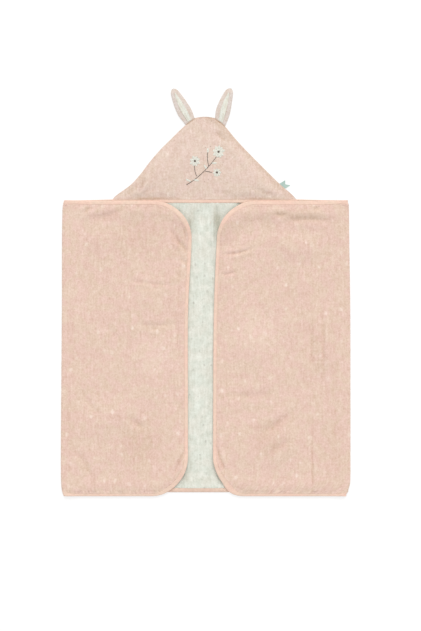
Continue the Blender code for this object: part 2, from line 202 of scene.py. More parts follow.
def makePiece(label, places, faces, finishes, cut, layers=None, pressed=0.0):
    # label is the piece's name, its slot, which is not used, and the CAD node that it replaces, if any
    # cut gives each point's place on the flat cloth, layers each face's finish, pressed each point's
    # painted light and shade, partly nap
    name, slotName, *nodes = label
    mesh = bpy.data.meshes.new(name)
    mesh.from_pydata(np.asarray(places).tolist(), [], [list(map(int, face)) for face in faces])
    for finish in finishes:
        mesh.materials.append(finish.material)
    if layers:
        mesh.polygons.foreach_set("material_index", layers)
    corners = np.empty(len(mesh.loops), np.int32)
    mesh.loops.foreach_get("vertex_index", corners)
    flat = np.asarray(cut, np.float32)[corners]
    mesh.uv_layers.new(name=flatCut).data.foreach_set("uv", flat.ravel())
    held = mesh.attributes.new(napAndPaintedShade, "FLOAT", "POINT")
    held.data.foreach_set("value", np.full(len(places), pressed, np.float32))
    data = bmesh.new()
    data.from_mesh(mesh)
    bmesh.ops.recalc_face_normals(data, faces=data.faces)
    data.to_mesh(mesh)
    data.free()
    mesh.shade_smooth()
    mesh.set_sharp_from_angle(angle=radians(55))
    piece = inScene(name, mesh)
    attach(piece, "root")
    for node in nodes:
        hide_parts(node)
    return piece


def makeShell(label, finish, places, low, high, columns, cut, pressed=0.0):
    # A closed cloth wall over a grid of flat places, between its lower and upper heights, with painted
    # light and shade in pressed
    count = len(places)
    faces, rim = gridFaces(count // columns, columns), gridRim(count // columns, columns)
    outer, inner = (places + upward * np.broadcast_to(z, count)[:, None] for z in (high, low))
    faces = np.concatenate([faces, faces[:, ::-1] + count, stripFaces(rim, rim + count)])
    pressed = np.tile(np.broadcast_to(pressed, count), 2)
    walls = np.concatenate([outer, inner])
    return makePiece(label, walls, faces, [finish], np.tile(cut, (2, 1)), None, pressed)


stitch = {
    "shares": (0.0, 0.08, 0.3, 0.5, 0.7, 0.92, 1.0),  # rings of points along its length
    "girth": (0.15, 0.75, 1.0, 1.0, 1.0, 0.75, 0.15),  # how thick it is there
    "sunk": 0.35,  # share of its arch that dips into the cloth
    "sides": 6,
}


def makeStitches(label, finish, starts, ends, ups, radius, arch):
    # Short threads: each one arches up and dips into the cloth at its ends
    shares, girth = np.array(stitch["shares"])[:, None], np.array(stitch["girth"])
    turns = np.arange(stitch["sides"]) * 2 * pi / stitch["sides"]
    along = unit(ends - starts)
    across = unit(np.cross(ups, along))
    lift = np.cross(along, across)
    rise = arch * (4 * shares * (1 - shares) - stitch["sunk"])
    centre = mix(starts[:, None], ends[:, None], shares) + lift[:, None] * rise
    ring = across[:, None] * np.cos(turns)[:, None] + lift[:, None] * np.sin(turns)[:, None]
    places = centre[:, :, None] + ring[:, None] * (radius * girth)[:, None, None]
    ids = np.arange(places[..., 0].size).reshape(places.shape[:3])
    caps = np.concatenate([ids[:, 0, ::-1], ids[:, -1]]).tolist()
    lengthwise = np.linalg.norm(ends - starts, axis=-1)[:, None, None] * shares
    cut = np.stack(np.broadcast_arrays(lengthwise, turns * radius), -1).reshape(-1, 2)
    faces = tubeFaces(ids[:, :-1], ids[:, 1:]) + caps
    return makePiece(label, places.reshape(-1, 3), faces, [finish], cut)


class Wire:
    # One output of a finish's nodes. A sum or product of wires adds its Math nodes.
    def __init__(self, finish, socket):
        self.finish = finish
        self.socket = socket

    def math(self, operation, *values):
        return self.finish.node("ShaderNodeMath", {"operation": operation}, dict(enumerate(values)))

    def sine(self):
        return self.math("SINE", self)

    def other(self, output):
        return Wire(self.finish, self.socket.node.outputs[output])

    def __add__(self, value):
        return self.math("ADD", self, value)

    def __radd__(self, value):
        return self.math("ADD", value, self)

    def __sub__(self, value):
        return self.math("SUBTRACT", self, value)

    def __rsub__(self, value):
        return self.math("SUBTRACT", value, self)

    def __mul__(self, value):
        return self.math("MULTIPLY", self, value)

    def __rmul__(self, value):
        return self.math("MULTIPLY", value, self)


class Finish:
    # One material with its own nodes
    def __init__(self, name, **constants):
        self.material = bpy.data.materials.new(name)
        self.material.use_nodes = True
        self.tree = self.material.node_tree
        self.shader = self.tree.nodes["Principled BSDF"]
        for socket, value in constants.items():
            self.join(value, self.shader.inputs[socket.replace("_", " ")])

    def node(self, kind, settings=None, sockets=None, output=0):
        made = self.tree.nodes.new(kind)
        for key, value in (settings or {}).items():
            setattr(made, key, value)
        for key, value in (sockets or {}).items():
            self.join(value, made.inputs[key])
        return Wire(self, made.outputs[output])

    def join(self, value, socket):
        if isinstance(value, Wire):
            self.tree.links.new(value.socket, socket)
        elif socket.type == "RGBA":
            socket.default_value = (*value, 1.0)
        else:
            socket.default_value = value

    def vector(self, operation, first, second):
        sockets = {0: first, "Scale" if operation == "SCALE" else 1: second}
        return self.node("ShaderNodeVectorMath", {"operation": operation}, sockets)

    def cloth(self, stretch=(1.0, 1.0, 1.0)):
        # Places on the flat cut, in metres, drawn out by the stretch
        return self.vector("MULTIPLY", self.node("ShaderNodeUVMap", {"uv_map": flatCut}), stretch)

    def noise(self, place, size, detail=2.0, roughness=0.5):
        sockets = {"Vector": place, "Scale": 1 / size, "Detail": detail, "Roughness": roughness}
        return self.node("ShaderNodeTexNoise", {"noise_dimensions": "2D"}, sockets)

    def cells(self, place, size):
        sockets = {"Vector": place, "Scale": 1 / size}
        return self.node("ShaderNodeTexVoronoi", {"voronoi_dimensions": "2D"}, sockets, "Distance")

    # Painted light and shade, partly the pile's nap, read from each piece's attribute
    def pressed(self):
        return self.node("ShaderNodeAttribute", {"attribute_name": napAndPaintedShade}, output="Fac")

    def between(self, value, low, high):
        # 0 below low, 1 above high, soft between them
        sockets = {"Value": value, "From Min": low, "From Max": high}
        return self.node("ShaderNodeMapRange", {"interpolation_type": "SMOOTHSTEP"}, sockets)

    def blend(self, share, first, second):
        sockets = {0: share, 6: first, 7: second}
        return self.node("ShaderNodeMix", {"data_type": "RGBA"}, sockets, 2)

    def tinted(self, colour, brightness, tint):
        # Brightness changes each channel by its own share
        change = self.vector("SCALE", tint, brightness - 1)
        return self.vector("MULTIPLY", colour, self.vector("ADD", change, (1.0, 1.0, 1.0)))

    def finish(self, colour, relief, depth, strength):
        self.join(colour, self.shader.inputs["Base Color"])
        sockets = {"Height": relief, "Distance": depth, "Strength": strength}
        self.join(self.node("ShaderNodeBump", {}, sockets), self.shader.inputs["Normal"])
        return self


terryLook = {
    "sheen": 0.28,
    "loop": 0.0019,  # one loop of the pile
    "grain": 0.0044,  # loops that catch the light together
    "mottle": 0.012,
    "patch": 0.03,  # where the pile was brushed one way
    "patchEdge": (0.38, 0.62),  # levels of that noise with the ground colour and the warm one
    "loopLevel": 0.35,  # the height of the pile that stays unshaded
    "streak": 0.0042,
    "streakDraw": 0.14,  # streaks run along the cloth's height
    # how strongly each of those shades the colour
    "loopShade": 0.1,
    "grainShade": 0.38,
    "streakShade": 0.18,
    "mottleShade": 0.22,
    # how far the painted light and shade, partly nap, darkens or lightens the colour
    "napAndShadeStrength": 0.085,
    "tint": (0.74, 1.0, 1.3),  # red changes least from light to shade
    "relief": 0.001,
    "reliefParts": (0.5, 0.25, 0.7),  # grain and streaks raise it, and gaps between loops lower it
    "reliefStrength": 0.48,
    "fleckReach": 0.0018,
    "fleckSpread": 0.002,  # how much wider the widest fleck is
    "fleckSoft": 0.0024,
    "fleckDraw": 0.72,
}
liningLook = dict(
    terryLook, mottle=0.015, grainShade=0.22, mottleShade=0.31, tint=(0.92, 1.0, 1.18),
    reliefStrength=0.36, fleckReach=0.0013, fleckSpread=0.0014, fleckSoft=0.0013,
)
wovenLook = {
    "wearAndPuckerShade": 0.0075,
    "slub": 0.0012,  # thicker stretches of thread
    "slubDraw": 0.25,
    "patch": 0.07,
    "patchEdge": (0.35, 0.65),
    "weaveShade": 0.05,
    "slubShade": 0.03,
    # how far the painted shade darkens the tape
    "napAndShadeStrength": 0.1,
    "relief": 0.00025,
    "reliefParts": (0.6, 0.4),  # the weave and its slubs
    "reliefStrength": 0.5,
}
threadLook = {"plies": (9000.0, 5200.0), "wearAndPuckerShade": 0.004, "shade": 0.08, "relief": 0.0001}


def terryFinish(name, ground, warm, fleck, spacing, fleckShare, look=terryLook):
    made = Finish(name, Roughness=0.95, Sheen_Weight=look["sheen"], Sheen_Roughness=0.35)
    place = made.cloth()
    loops = made.cells(place, look["loop"])
    grain = made.noise(place, look["grain"], 2.0, 0.6)
    mottle = made.noise(place, look["mottle"])
    patches = made.noise(place, look["patch"])
    streaks = made.noise(made.cloth((1.0, look["streakDraw"], 1.0)), look["streak"], 1.0)
    spots = made.cells(made.cloth((1.0, look["fleckDraw"], 1.0)), spacing)
    kind = made.node("ShaderNodeSeparateColor", {}, {0: spots.other("Color")})
    reach = look["fleckReach"] / spacing + look["fleckSpread"] / spacing * kind
    soft = look["fleckSoft"] / spacing
    mask = 1 - made.between(spots - reach, -soft, soft)
    level = 1 - (look["grainShade"] + look["streakShade"] + look["mottleShade"]) / 2
    shade = level + look["grainShade"] * grain + look["streakShade"] * streaks
    shade = shade + look["mottleShade"] * mottle - look["loopShade"] * (loops - look["loopLevel"])
    # painted shade and painted light from the attribute
    shade = shade - look["napAndShadeStrength"] * made.pressed()
    colour = made.blend(made.between(patches, *look["patchEdge"]), colours[ground], colours[warm])
    colour = made.blend(mask * kind.other("Green") * fleckShare, colour, colours[fleck])
    grainRise, streakRise, loopDip = look["reliefParts"]
    relief = grainRise * grain + streakRise * streaks - loopDip * loops
    colour = made.tinted(colour, shade, look["tint"])
    return made.finish(colour, relief, look["relief"], look["reliefStrength"])


def wovenFinish(name, colour, deeper, thread, roughness, sheen, wearAndPuckerStrength, look=wovenLook):
    # Plain weave: threads over and under each other
    made = Finish(name, Roughness=roughness, Sheen_Weight=sheen, Sheen_Roughness=0.4)
    place = made.cloth()
    parts = made.node("ShaderNodeSeparateXYZ", {}, {0: place})
    turns = 2 * pi / thread
    weave = 0.5 + 0.5 * ((parts * turns).sine() * (parts.other("Y") * turns).sine())
    # worn tone, which on the tape and the ribbon also stands in for painted shade of their puckers
    wearAndPuckerShade = made.noise(place, look["wearAndPuckerShade"], 3.0, 0.6)
    slubs = made.noise(made.cloth((look["slubDraw"], 1.0, 1.0)), look["slub"], 2.0)
    shade = 0.97 - wearAndPuckerStrength / 2 + look["weaveShade"] * weave + wearAndPuckerStrength * wearAndPuckerShade
    # painted shade from the attribute, on the back's lower hem
    shade = shade + look["slubShade"] * slubs - look["napAndShadeStrength"] * made.pressed()
    patches = made.between(made.noise(place, look["patch"]), *look["patchEdge"])
    colour = made.blend(patches, colours[colour], colours[deeper])
    weaveRise, slubRise = look["reliefParts"]
    relief = weaveRise * weave + slubRise * slubs
    return made.finish(made.vector("SCALE", colour, shade), relief, look["relief"], look["reliefStrength"])


def threadFinish(name, colour, roughness, sheen, look=threadLook):
    # Twisted thread: slanted plies along it
    made = Finish(name, Roughness=roughness, Sheen_Weight=sheen, Sheen_Roughness=0.35)
    place = made.cloth()
    parts = made.node("ShaderNodeSeparateXYZ", {}, {0: place})
    along, around = look["plies"]
    plies = 0.5 + 0.5 * (parts * along + parts.other("Y") * around).sine()
    shade = 0.9 + look["shade"] * plies + look["shade"] * made.noise(place, look["wearAndPuckerShade"], 2.0)
    return made.finish(made.vector("SCALE", colours[colour], shade), plies, look["relief"], 0.5)


colours = {
    "pink": (0.712, 0.51, 0.43),
    "pinkWarm": (0.704, 0.532, 0.427),
    "pinkFleck": (0.86, 0.72, 0.63),
    "hoodPink": (0.698, 0.536, 0.46),
    "hoodWarm": (0.695, 0.552, 0.462),
    "earPink": (0.655, 0.572, 0.522),
    "offWhite": (0.666, 0.685, 0.607),
    "offWhiteWarm": (0.692, 0.688, 0.61),
    "offWhiteSpeck": (0.48, 0.47, 0.41),
    "earWarm": (0.672, 0.572, 0.505),
    "earPanel": (0.73, 0.722, 0.635),
    "peach": (0.756, 0.565, 0.452),
    "peachDeep": (0.775, 0.54, 0.44),
    "sage": (0.395, 0.515, 0.46),
    "sageDeep": (0.365, 0.5, 0.455),
    "threadLight": (0.76, 0.75, 0.67),
    "threadDark": (0.03, 0.022, 0.017),
}

print("finishes")
outside = terryFinish("terryOutside", "pink", "pinkWarm", "pinkFleck", 0.036, 0.62)
inside = terryFinish("terryInside", "offWhite", "offWhiteWarm", "offWhiteSpeck", 0.026, 0.8, liningLook)
hoodTerry = terryFinish("hoodTerry", "hoodPink", "hoodWarm", "pinkFleck", 0.038, 0.62)
earTerry = terryFinish("earTerry", "earPink", "earWarm", "pinkFleck", 0.05, 0.3)
panelTerry = terryFinish("panelTerry", "earPanel", "offWhiteWarm", "offWhiteSpeck", 0.04, 0.1)
# the last number is how strongly worn tone and painted pucker shade vary
tapeCloth = wovenFinish("tapeCloth", "peach", "peachDeep", 0.0006, 0.8, 0.25, 0.26)
ribbonCloth = wovenFinish("ribbonCloth", "sage", "sageDeep", 0.0008, 0.6, 0.3, 0.14)
tapeThread = threadFinish("tapeThread", "peach", 0.6, 0.3)
lightThread = threadFinish("lightThread", "threadLight", 0.5, 0.4)
darkThread = threadFinish("darkThread", "threadDark", 0.5, 0.2)


towel = {
    "width": 1.3,
    "height": 0.7,
    "corner": 0.092,
    "wall": 0.003,
    "pressed": 0.001,  # the wall where the tape holds it
    "foldRadius": 0.0035,
    "foldRelax": 0.045,  # how far the fold's bulge runs into the flap
    # how far the back's lower and upper hem draw up between the flaps, and how far into the cloth
    "lowerBow": 0.009,
    "lowerBowRun": 0.16,
    "upperBow": 0.0046,
    "upperBowRun": 0.05,
    "flapBow": (0.0018, 0.0026),  # how far the left and right flap's upper edge draws down
    "flapBowRun": 0.07,  # from the fold
    "hemRest": (0.022, 0.03),  # the flaps lie on the back's hems this far in, then sink over this run
    "edgeZone": 0.15,
    "puff": 0.0022,  # how far a flap stands off the back between its edges
    "puffRun": (-0.004, 0.035),  # in from its edge
    "calmEdge": 0.4,  # share of its creases' height at its edge
    "stopSoft": 0.0004,  # how softly its wall stops where it meets what it lies on
    "puckers": (0.00045, 0.0125, 0.011, 0.02),  # beside the tape: rise, wave, where highest, run
    "rays": (0.0007, 0.023, 0.006, 0.016, 0.085),  # longer ones inward: rise, wave, start, run, end
    "uneven": (0.13, 0.31, 0.19),  # waves over which puckers grow, and rays bend and fade
    "rayBend": 0.35,  # how far rays wander along the edge on their way in
    "rayLevel": (0.45, 0.75),  # their middle strength and its swing
    "handWaves": (0.0007, 0.083, 0.107),  # where it was smoothed by hand: rise and two waves
    "pile": 0.00012,  # unevenness of the pile
    "pileFrom": (0.0025, 0.002),  # the underside, lower than this, lies flat
    "edgeRise": 0.0012,  # how far a flap's free edge stands off the lining
    "edgeRun": 0.05,
    "edgeWave": (0.6, 0.17),
    "parting": -0.014,  # middle of the lining that shows
    # side, height, half length, how far in it reaches, rise
    "lifts": (
        (1, 0.292, 0.055, 0.055, 0.0092), (-1, 0.294, 0.048, 0.04, 0.0055),
        (1, -0.285, 0.055, 0.045, 0.003), (-1, -0.285, 0.055, 0.045, 0.003),
    ),
    # height, left fold, right fold, width of the left flap, how far the cloth gives
    "laidRows": (
        (0.35, -0.3362, 0.3352, 0.3039, -0.008), (0.334, -0.3398, 0.3372, 0.305, -0.006),
        (0.256, -0.3413, 0.3382, 0.3067, 0.002), (0.09, -0.3417, 0.3406, 0.2989, 0.006),
        (-0.122, -0.3432, 0.341, 0.2999, 0.011), (-0.26, -0.3441, 0.341, 0.3008, 0.013),
        (-0.316, -0.3434, 0.3404, 0.3003, 0.01), (-0.338, -0.3412, 0.3353, 0.2996, 0.005),
        (-0.35, -0.3368, 0.3318, 0.2992, 0),
    ),
    # x, y, half length, half width, turn in degrees, height
    "swells": (
        (-0.25, 0.262, 0.08, 0.045, 14, 0.0033), (-0.14, 0.11, 0.11, 0.06, 80, 0.0026),
        (-0.225, -0.17, 0.11, 0.06, 20, 0.0033), (0.215, 0.24, 0.09, 0.045, -8, 0.0039),
        (0.283, 0.01, 0.12, 0.04, 88, 0.0039), (0.105, 0.01, 0.1, 0.065, 100, 0.0026),
        (0.17, -0.235, 0.09, 0.05, 25, 0.0033),
    ),
    # x and y of both ends, bow, half width, rise
    "creases": (
        (-0.292, 0.319, -0.27, 0.336, 0, 0.007, -0.0027),
        (-0.266, 0.306, -0.192, 0.333, 0.004, 0.011, -0.002),
        (-0.084, 0.28, -0.071, 0.258, 0.001, 0.007, -0.002),
        (-0.074, 0.259, -0.045, 0.228, -0.001, 0.006, -0.0034),
        (-0.0555, 0.292, -0.0485, 0.263, 0.0005, 0.004, -0.0026),
        (-0.059, 0.214, -0.051, 0.2, 0, 0.005, -0.0026),
        (-0.063, 0.206, -0.064, 0.098, 0.002, 0.006, -0.0019),
        (-0.069, 0.067, -0.069, -0.021, -0.001, 0.006, -0.0017),
        (-0.181, 0.16, -0.074, 0.149, 0.003, 0.007, -0.0015),
        (-0.168, 0.141, -0.098, 0.138, -0.002, 0.006, -0.001),
        (-0.157, 0.055, -0.08, 0.056, 0.001, 0.007, -0.0016),
        (-0.141, 0.045, -0.109, 0.047, 0, 0.006, -0.0013),
        (-0.181, -0.163, -0.147, -0.189, 0.003, 0.011, -0.002),
        (-0.0505, -0.238, -0.075, -0.294, -0.0015, 0.006, -0.0038),
        (-0.318, 0.12, -0.312, -0.06, 0.003, 0.009, -0.0012),
        (-0.29, -0.11, -0.25, -0.16, 0.002, 0.01, -0.0014),
        (-0.315, -0.24, -0.27, -0.31, -0.006, 0.011, -0.0015),
        (-0.24, 0.06, -0.205, 0.02, 0.002, 0.009, -0.001),
        (0.04, 0.222, 0.113, 0.239, 0.005, 0.005, -0.0027),
        (0.036, 0.174, 0.07, 0.181, 0.002, 0.005, -0.0022),
        (0.16, 0.316, 0.191, 0.316, 0.001, 0.008, -0.0024),
        (0.19, 0.302, 0.286, 0.302, -0.003, 0.009, -0.0023), (0.253, 0.33, 0.268, 0.334, 0, 0.006, -0.0019),
        (0.25, 0.052, 0.25, -0.06, 0.001, 0.005, -0.0015),
        (0.275, 0.07, 0.276, -0.042, -0.001, 0.005, -0.0017),
        (0.286, 0.102, 0.286, -0.075, 0.001, 0.006, 0.0015),
        (0.307, 0.004, 0.304, -0.28, 0.002, 0.007, -0.0012),
        (0.251, -0.165, 0.251, -0.341, 0.001, 0.0035, -0.0032),
        (0.132, -0.198, 0.203, -0.151, 0.004, 0.013, -0.0024),
        (0.144, -0.253, 0.203, -0.217, -0.003, 0.013, -0.002),
        (0.056, -0.111, 0.155, -0.106, 0.004, 0.012, -0.0015),
        (0.0255, -0.236, 0.044, -0.292, 0.0015, 0.006, -0.0038),
        (0.12, 0.12, 0.15, 0.06, 0.003, 0.012, -0.001), (0.2, 0.18, 0.185, 0.11, -0.003, 0.01, -0.001),
    ),
    # painted shade, above 0, and painted light, below 0, partly the pile's nap: x, y, half length, half
    # width, turn, share
    "napAndShade": (
        (-0.303, 0.31, 0.06, 0.035, 40, -0.6), (-0.16, 0.265, 0.085, 0.06, 0, 0.5),
        (-0.066, 0.248, 0.05, 0.032, 70, 0.7), (-0.312, 0.12, 0.08, 0.035, 90, -0.4),
        (-0.117, -0.02, 0.08, 0.07, 0, -0.7), (-0.157, -0.229, 0.1, 0.07, 80, 0.9),
        (-0.322, -0.184, 0.1, 0.022, 90, 0.5), (0.219, 0.317, 0.095, 0.028, 0, 0.5),
        (0.11, 0.255, 0.06, 0.05, 30, -0.3), (0.12, 0.036, 0.1, 0.09, 90, -0.6),
        (0.265, 0, 0.17, 0.06, 90, 0.3), (0.151, -0.208, 0.075, 0.06, 25, 0.9),
        (0.3, -0.24, 0.12, 0.045, 90, 0.4), (-0.064, -0.264, 0.03, 0.0045, 66, 1),
        (0.035, -0.262, 0.03, 0.0045, 108, 1),
    ),
    # painted light and shade on the lining, in the same rows: painted shadow beside the flaps' corners and
    # above its lower hem, and painted light and shade along its soft folds
    "liningPaintedShade": (
        (0.027, 0.297, 0.054, 0.015, 97, 3.5), (-0.037, 0.3, 0.047, 0.013, 80, 2.3),
        (-0.048, -0.312, 0.036, 0.014, 60, 1.8), (0.027, -0.296, 0.05, 0.014, 105, 1.8),
        (-0.012, -0.322, 0.06, 0.014, 0, 1), (0.008, 0.3, 0.055, 0.008, 90, -0.8),
        (-0.015, 0.27, 0.07, 0.008, 90, -0.6), (-0.012, 0.13, 0.1, 0.012, 90, -0.5),
        (-0.02, -0.08, 0.12, 0.012, 90, -0.5), (0.002, -0.02, 0.12, 0.008, 90, 0.5),
        (-0.009, -0.26, 0.07, 0.01, 90, -0.5),
    ),
    # the lining slopes down to its lower hem and swells up below the hood's:
    # middle, half length, fade, run, fade, rise
    "lowerRidge": (-0.012, 0.026, 0.026, 0.012, 0.03, 0.0034),
    "upperRidge": (-0.014, 0.08, 0.02, 0.005, 0.034, 0.0028),
    "upperRidgeStart": 0.0062,  # below the body's hem
    # x and y of both ends, bow, half width, rise, for the lining between the flaps
    "liningCreases": (
        (-0.0335, 0.338, -0.0345, 0.209, 0.001, 0.0055, 0.0023),
        (0.015, 0.34, 0.0125, 0.209, -0.001, 0.005, 0.0036),
        (0.0265, 0.341, 0.0255, 0.312, 0, 0.004, 0.0032),
        (-0.012, 0.325, -0.016, 0.12, 0.002, 0.012, 0.0011),
        (-0.02, 0.06, -0.014, -0.12, -0.002, 0.013, 0.0009),
        (-0.006, -0.14, -0.018, -0.3, 0.002, 0.012, 0.0009),
    ),
    "backShows": (0.34, 0.62),  # shares of the back's width
    # grid steps: corner, side; edge, flap, fold, back under the flap, back that shows, and back out
    "outerSteps": (30, 190, (50, 55, 12, 4, 6, 4, 12, 64, 50)),
    "innerSteps": (14, 96, (14, 10, 8, 8, 60, 8, 8, 12, 14)),
}
tape = {
    "width": 0.01,
    "hoodWidth": 0.008,
    "wall": 0.001,
    "pressedStart": -0.0005,  # from its free edge to where the terry starts to rise
    "pressedRun": 0.003,
    # distance past the free edge and share of the full wall there
    "rise": ((0.002, 1.0), (0.001, 0.98), (0.00035, 0.9)),
    "edge": ((0.0, 0.78), (0.0004, 0.93)),  # in from its free edge, and share of its thickness
    "flat": ((0.84, 0.98), (0.6, 1.0), (0.32, 1.0)),  # shares of its width and thickness
    "uneven": (0.0002, 0.031),  # its width: how much and over what wave
    "plump": (0.07, 0.017),  # its thickness
    # how wide it shows on the flaps' sides, upper hems, lower hems and corners: it turns under a little
    "shows": (0.8, 0.9, 0.52, 1.07),
    "showsRun": 0.02,
    "rolledShade": 0.9,  # painted shade on the back's lower hem, standing for the shade of a tape that turns under: how dark, and from this share of its width
    "rolledShadeFrom": (0.62, 0.34),
    "rolledShadeRun": 0.05,
    "stitchLength": 0.0025,
    "stitchGap": 0.0008,
    "stitchInset": 0.0014,  # from the free edge
    "stitchRadius": 0.00022,
    "stitchArch": 0.00022,
    "stitchHeight": (0.94, 0.96),  # on the body's tape and on the hood's, as a share of its half
}
tape["slot"] = towel["pressed"] / 2 + gap  # half of the slot that holds the terry
tape["half"] = tape["slot"] + tape["wall"]
foldArc = pi * towel["foldRadius"]
hemTop = towel["height"] / 2


def laidSection(v):
    # Straight lengths of the folded section at height v, and the centres of its two folds
    leftFold, rightFold, leftFlap, give = readTable(towel["laidRows"], v)
    inset = towel["wall"] / 2 + towel["foldRadius"]
    leftCentre, rightCentre = leftFold + inset, rightFold - inset
    left, back = leftFlap - inset, rightCentre - leftCentre
    right = towel["width"] + give - left - back - 2 * foldArc
    return left, back, right, leftCentre, rightCentre


def cutWidth(v):
    return towel["width"] + readTable(towel["laidRows"], v)[3]


def backHeight(v):
    # Middle of the back's wall, higher at the hems, whose tape lies on the surface
    fromHem = hemTop - np.abs(v)
    return mix(tape["half"], towel["wall"] / 2, grow(fromHem, tape["width"], tape["pressedRun"]))


def fromSides(u, v):
    # How far in from the nearer side a place is, and how far it is past its corner's centre
    total, corner = cutWidth(v), towel["corner"]
    fromSide = np.minimum(u, total - u)
    across = np.maximum(corner - fromSide, 0.0)
    return fromSide, across, np.maximum(np.abs(v) - hemTop + corner, 0.0), u > total / 2


def edgePlace(u, v):
    # How far in from the cut's edge a place is, and where along that edge
    fromSide, across, up, onRight = fromSides(u, v)
    corner = towel["corner"]
    turned = corner * np.arctan2(up, across + 1e-9)
    along = np.minimum(np.abs(v), hemTop - corner) + turned + np.maximum(fromSide - corner, 0.0)
    return corner - np.hypot(across, up), np.where(v > 0, along, -along) + 5.0 * onRight


def puckers(inward, along):
    growing, bending, fading = towel["uneven"]
    rise, wave, place, run = towel["puckers"]
    waves = ripple(along, wave, 2.0) * mix(0.6, 1.0, ripple(along, growing, 5.0))
    small = rise * (1 + waves) * hump((inward - place) / run)
    rise, wave, start, run, end = towel["rays"]
    bent = along + towel["rayBend"] * inward * ripple(along, bending, 1.0)
    spread = grow(inward, start, run) * fade(inward, 0, end)
    middle, swing = towel["rayLevel"]
    uneven = np.maximum(middle + swing * ripple(along, fading, 7.0), 0.0)
    return small + rise * ripple(bent, wave, 4.0) * spread * uneven


def edgeLift(x, y, inward):
    # How far a flap's free edge stands up off the lining
    run = towel["edgeRun"]
    much, wave = towel["edgeWave"]
    waved = 1 + much * ripple(y + 0.3 * np.sign(x), wave, 3.0)
    height = towel["edgeRise"] * waved * fade(inward, 0, run) * grow(hemTop - np.abs(y), 0, run)
    for side, centre, halfLength, reach, rise in towel["lifts"]:
        beside = np.sign(x - towel["parting"]) == side
        height = height + rise * hump((y - centre) / halfLength) * fade(inward, 0, reach) * beside
    return height


def hemRidge(x, fromHem, row):
    # A soft ridge of the lining along a hem
    middle, halfLength, fadeAlong, run, fadeIn, rise = row
    along = fade(np.abs(x - middle), halfLength, fadeAlong)
    return rise * along * grow(fromHem, 0, run) * fade(fromHem, run, fadeIn)


def handWaves(x, y):
    rise, first, second = towel["handWaves"]
    return rise * (ripple(x * 0.9 + y * 0.35, first, 1.0) + ripple(y * 0.9 - x * 0.4, second, 4.0))


def softStop(relief, soft):
    # Never below 0: the wall stops softly where it meets what it lies on
    return soft * np.logaddexp(0.0, relief / soft)


def flapHeight(u, v, x, fromFold):
    # Middle of a flap's wall. It lies on the back, on the back's hems and on the hood's hem.
    hoodLeft, hoodRight = hood["rows"][0][1:]
    pastHood = np.abs(x - (hoodLeft + hoodRight) / 2) - (hoodRight - hoodLeft) / 2
    onHood = fade(pastHood, *hood["restPast"]) * fade(hemTop - v, *hood["rest"])
    onHem = fade(hemTop - np.abs(v), *towel["hemRest"])
    level = towel["wall"] + gap + tape["half"] + (2 * tape["half"] - towel["wall"]) * onHem
    level = level + (2 * tape["half"] + gap) * onHood
    free = ease(fromFold / towel["foldRelax"])
    bulge = backHeight(v) + 2 * towel["foldRadius"] - level
    inward, along = edgePlace(u, v)
    inner = grow(inward, *towel["puffRun"])
    waves = creaseRelief(x, v, towel["creases"]) + handWaves(x, v)
    relief = softPatches(x, v, towel["swells"]) + towel["puff"] * inner + puckers(inward, along)
    relief = relief + edgeLift(x, v, inward) + waves * mix(towel["calmEdge"], 1.0, inner)
    return level + bulge * (1 - free) + softStop(relief, towel["stopSoft"]) * free


def betweenFolds(intoBack, back):
    # 1 over the middle third of the back, 0 at its folds
    return ease(np.minimum(intoBack, back - intoBack) / (back / 3))


def bodyPoint(u, v):
    left, back, _, leftCentre, rightCentre = laidSection(v)
    radius, middle = towel["foldRadius"], backHeight(v)
    intoFold = u - left
    intoBack = intoFold - foldArc
    intoRight = intoBack - back
    intoFlap = intoRight - foldArc
    where = [u < left, intoFold < foldArc, intoBack < back, intoRight < foldArc]
    leftX, backX, rightX = leftCentre - intoFold, leftCentre + intoBack, rightCentre - intoFlap
    turn, turnRight = intoFold / radius, intoRight / radius
    folds = leftCentre - radius * np.sin(turn), rightCentre + radius * np.sin(turnRight)
    x = np.select(where, [leftX, folds[0], backX, folds[1]], rightX)
    high = fade(hemTop - v, 0, towel["upperBowRun"])
    bow = towel["lowerBow"] * fade(v + hemTop, 0, towel["lowerBowRun"]) + towel["upperBow"] * high
    bow = bow * betweenFolds(intoBack, back)
    onFlaps = ease(np.maximum(-intoFold, intoFlap) / towel["flapBowRun"])
    drawn = np.where(where[0], *towel["flapBow"]) * high * onFlaps
    y = np.where(where[2] & ~where[1], v + bow, v - drawn)
    fromHood = hemTop + towel["upperBow"] - v - bow - towel["upperRidgeStart"]
    lining = np.maximum(creaseRelief(backX, v, towel["liningCreases"]), 0.0)
    lining = lining + hemRidge(backX, v + hemTop, towel["lowerRidge"])
    lining = lining + hemRidge(backX, fromHood, towel["upperRidge"])
    heights = [
        flapHeight(u, v, leftX, -intoFold),
        middle + radius * (1 + np.cos(turn)),
        middle + lining,
        middle + radius * (1 - np.cos(turnRight)),
    ]
    return points(x, y, np.select(where, heights, flapHeight(u, v, rightX, intoFlap)))


def bodyShadeAndNap(u, v, side):
    # Painted light and shade, partly nap, on the flaps outside, and painted light and shade on the lining
    # inside
    left, back, _, leftCentre, rightCentre = laidSection(v)
    if side < 0:
        return softPatches(leftCentre + u - left - foldArc, v, towel["liningPaintedShade"])
    intoFlap = u - left - back - 2 * foldArc
    x = np.where(u < left, leftCentre + left - u, rightCentre - intoFlap)
    return creaseShadeAndNap(x, v, towel) * ((u < left) | (intoFlap > 0))


def bodyFrame(u, v):
    # A place of the laid body and the way its outer face looks there
    step = towel["foldRadius"] / 9
    alongU = bodyPoint(u + step, v) - bodyPoint(u - step, v)
    alongV = bodyPoint(u, v + step) - bodyPoint(u, v - step)
    return bodyPoint(u, v), unit(np.cross(alongV, alongU))


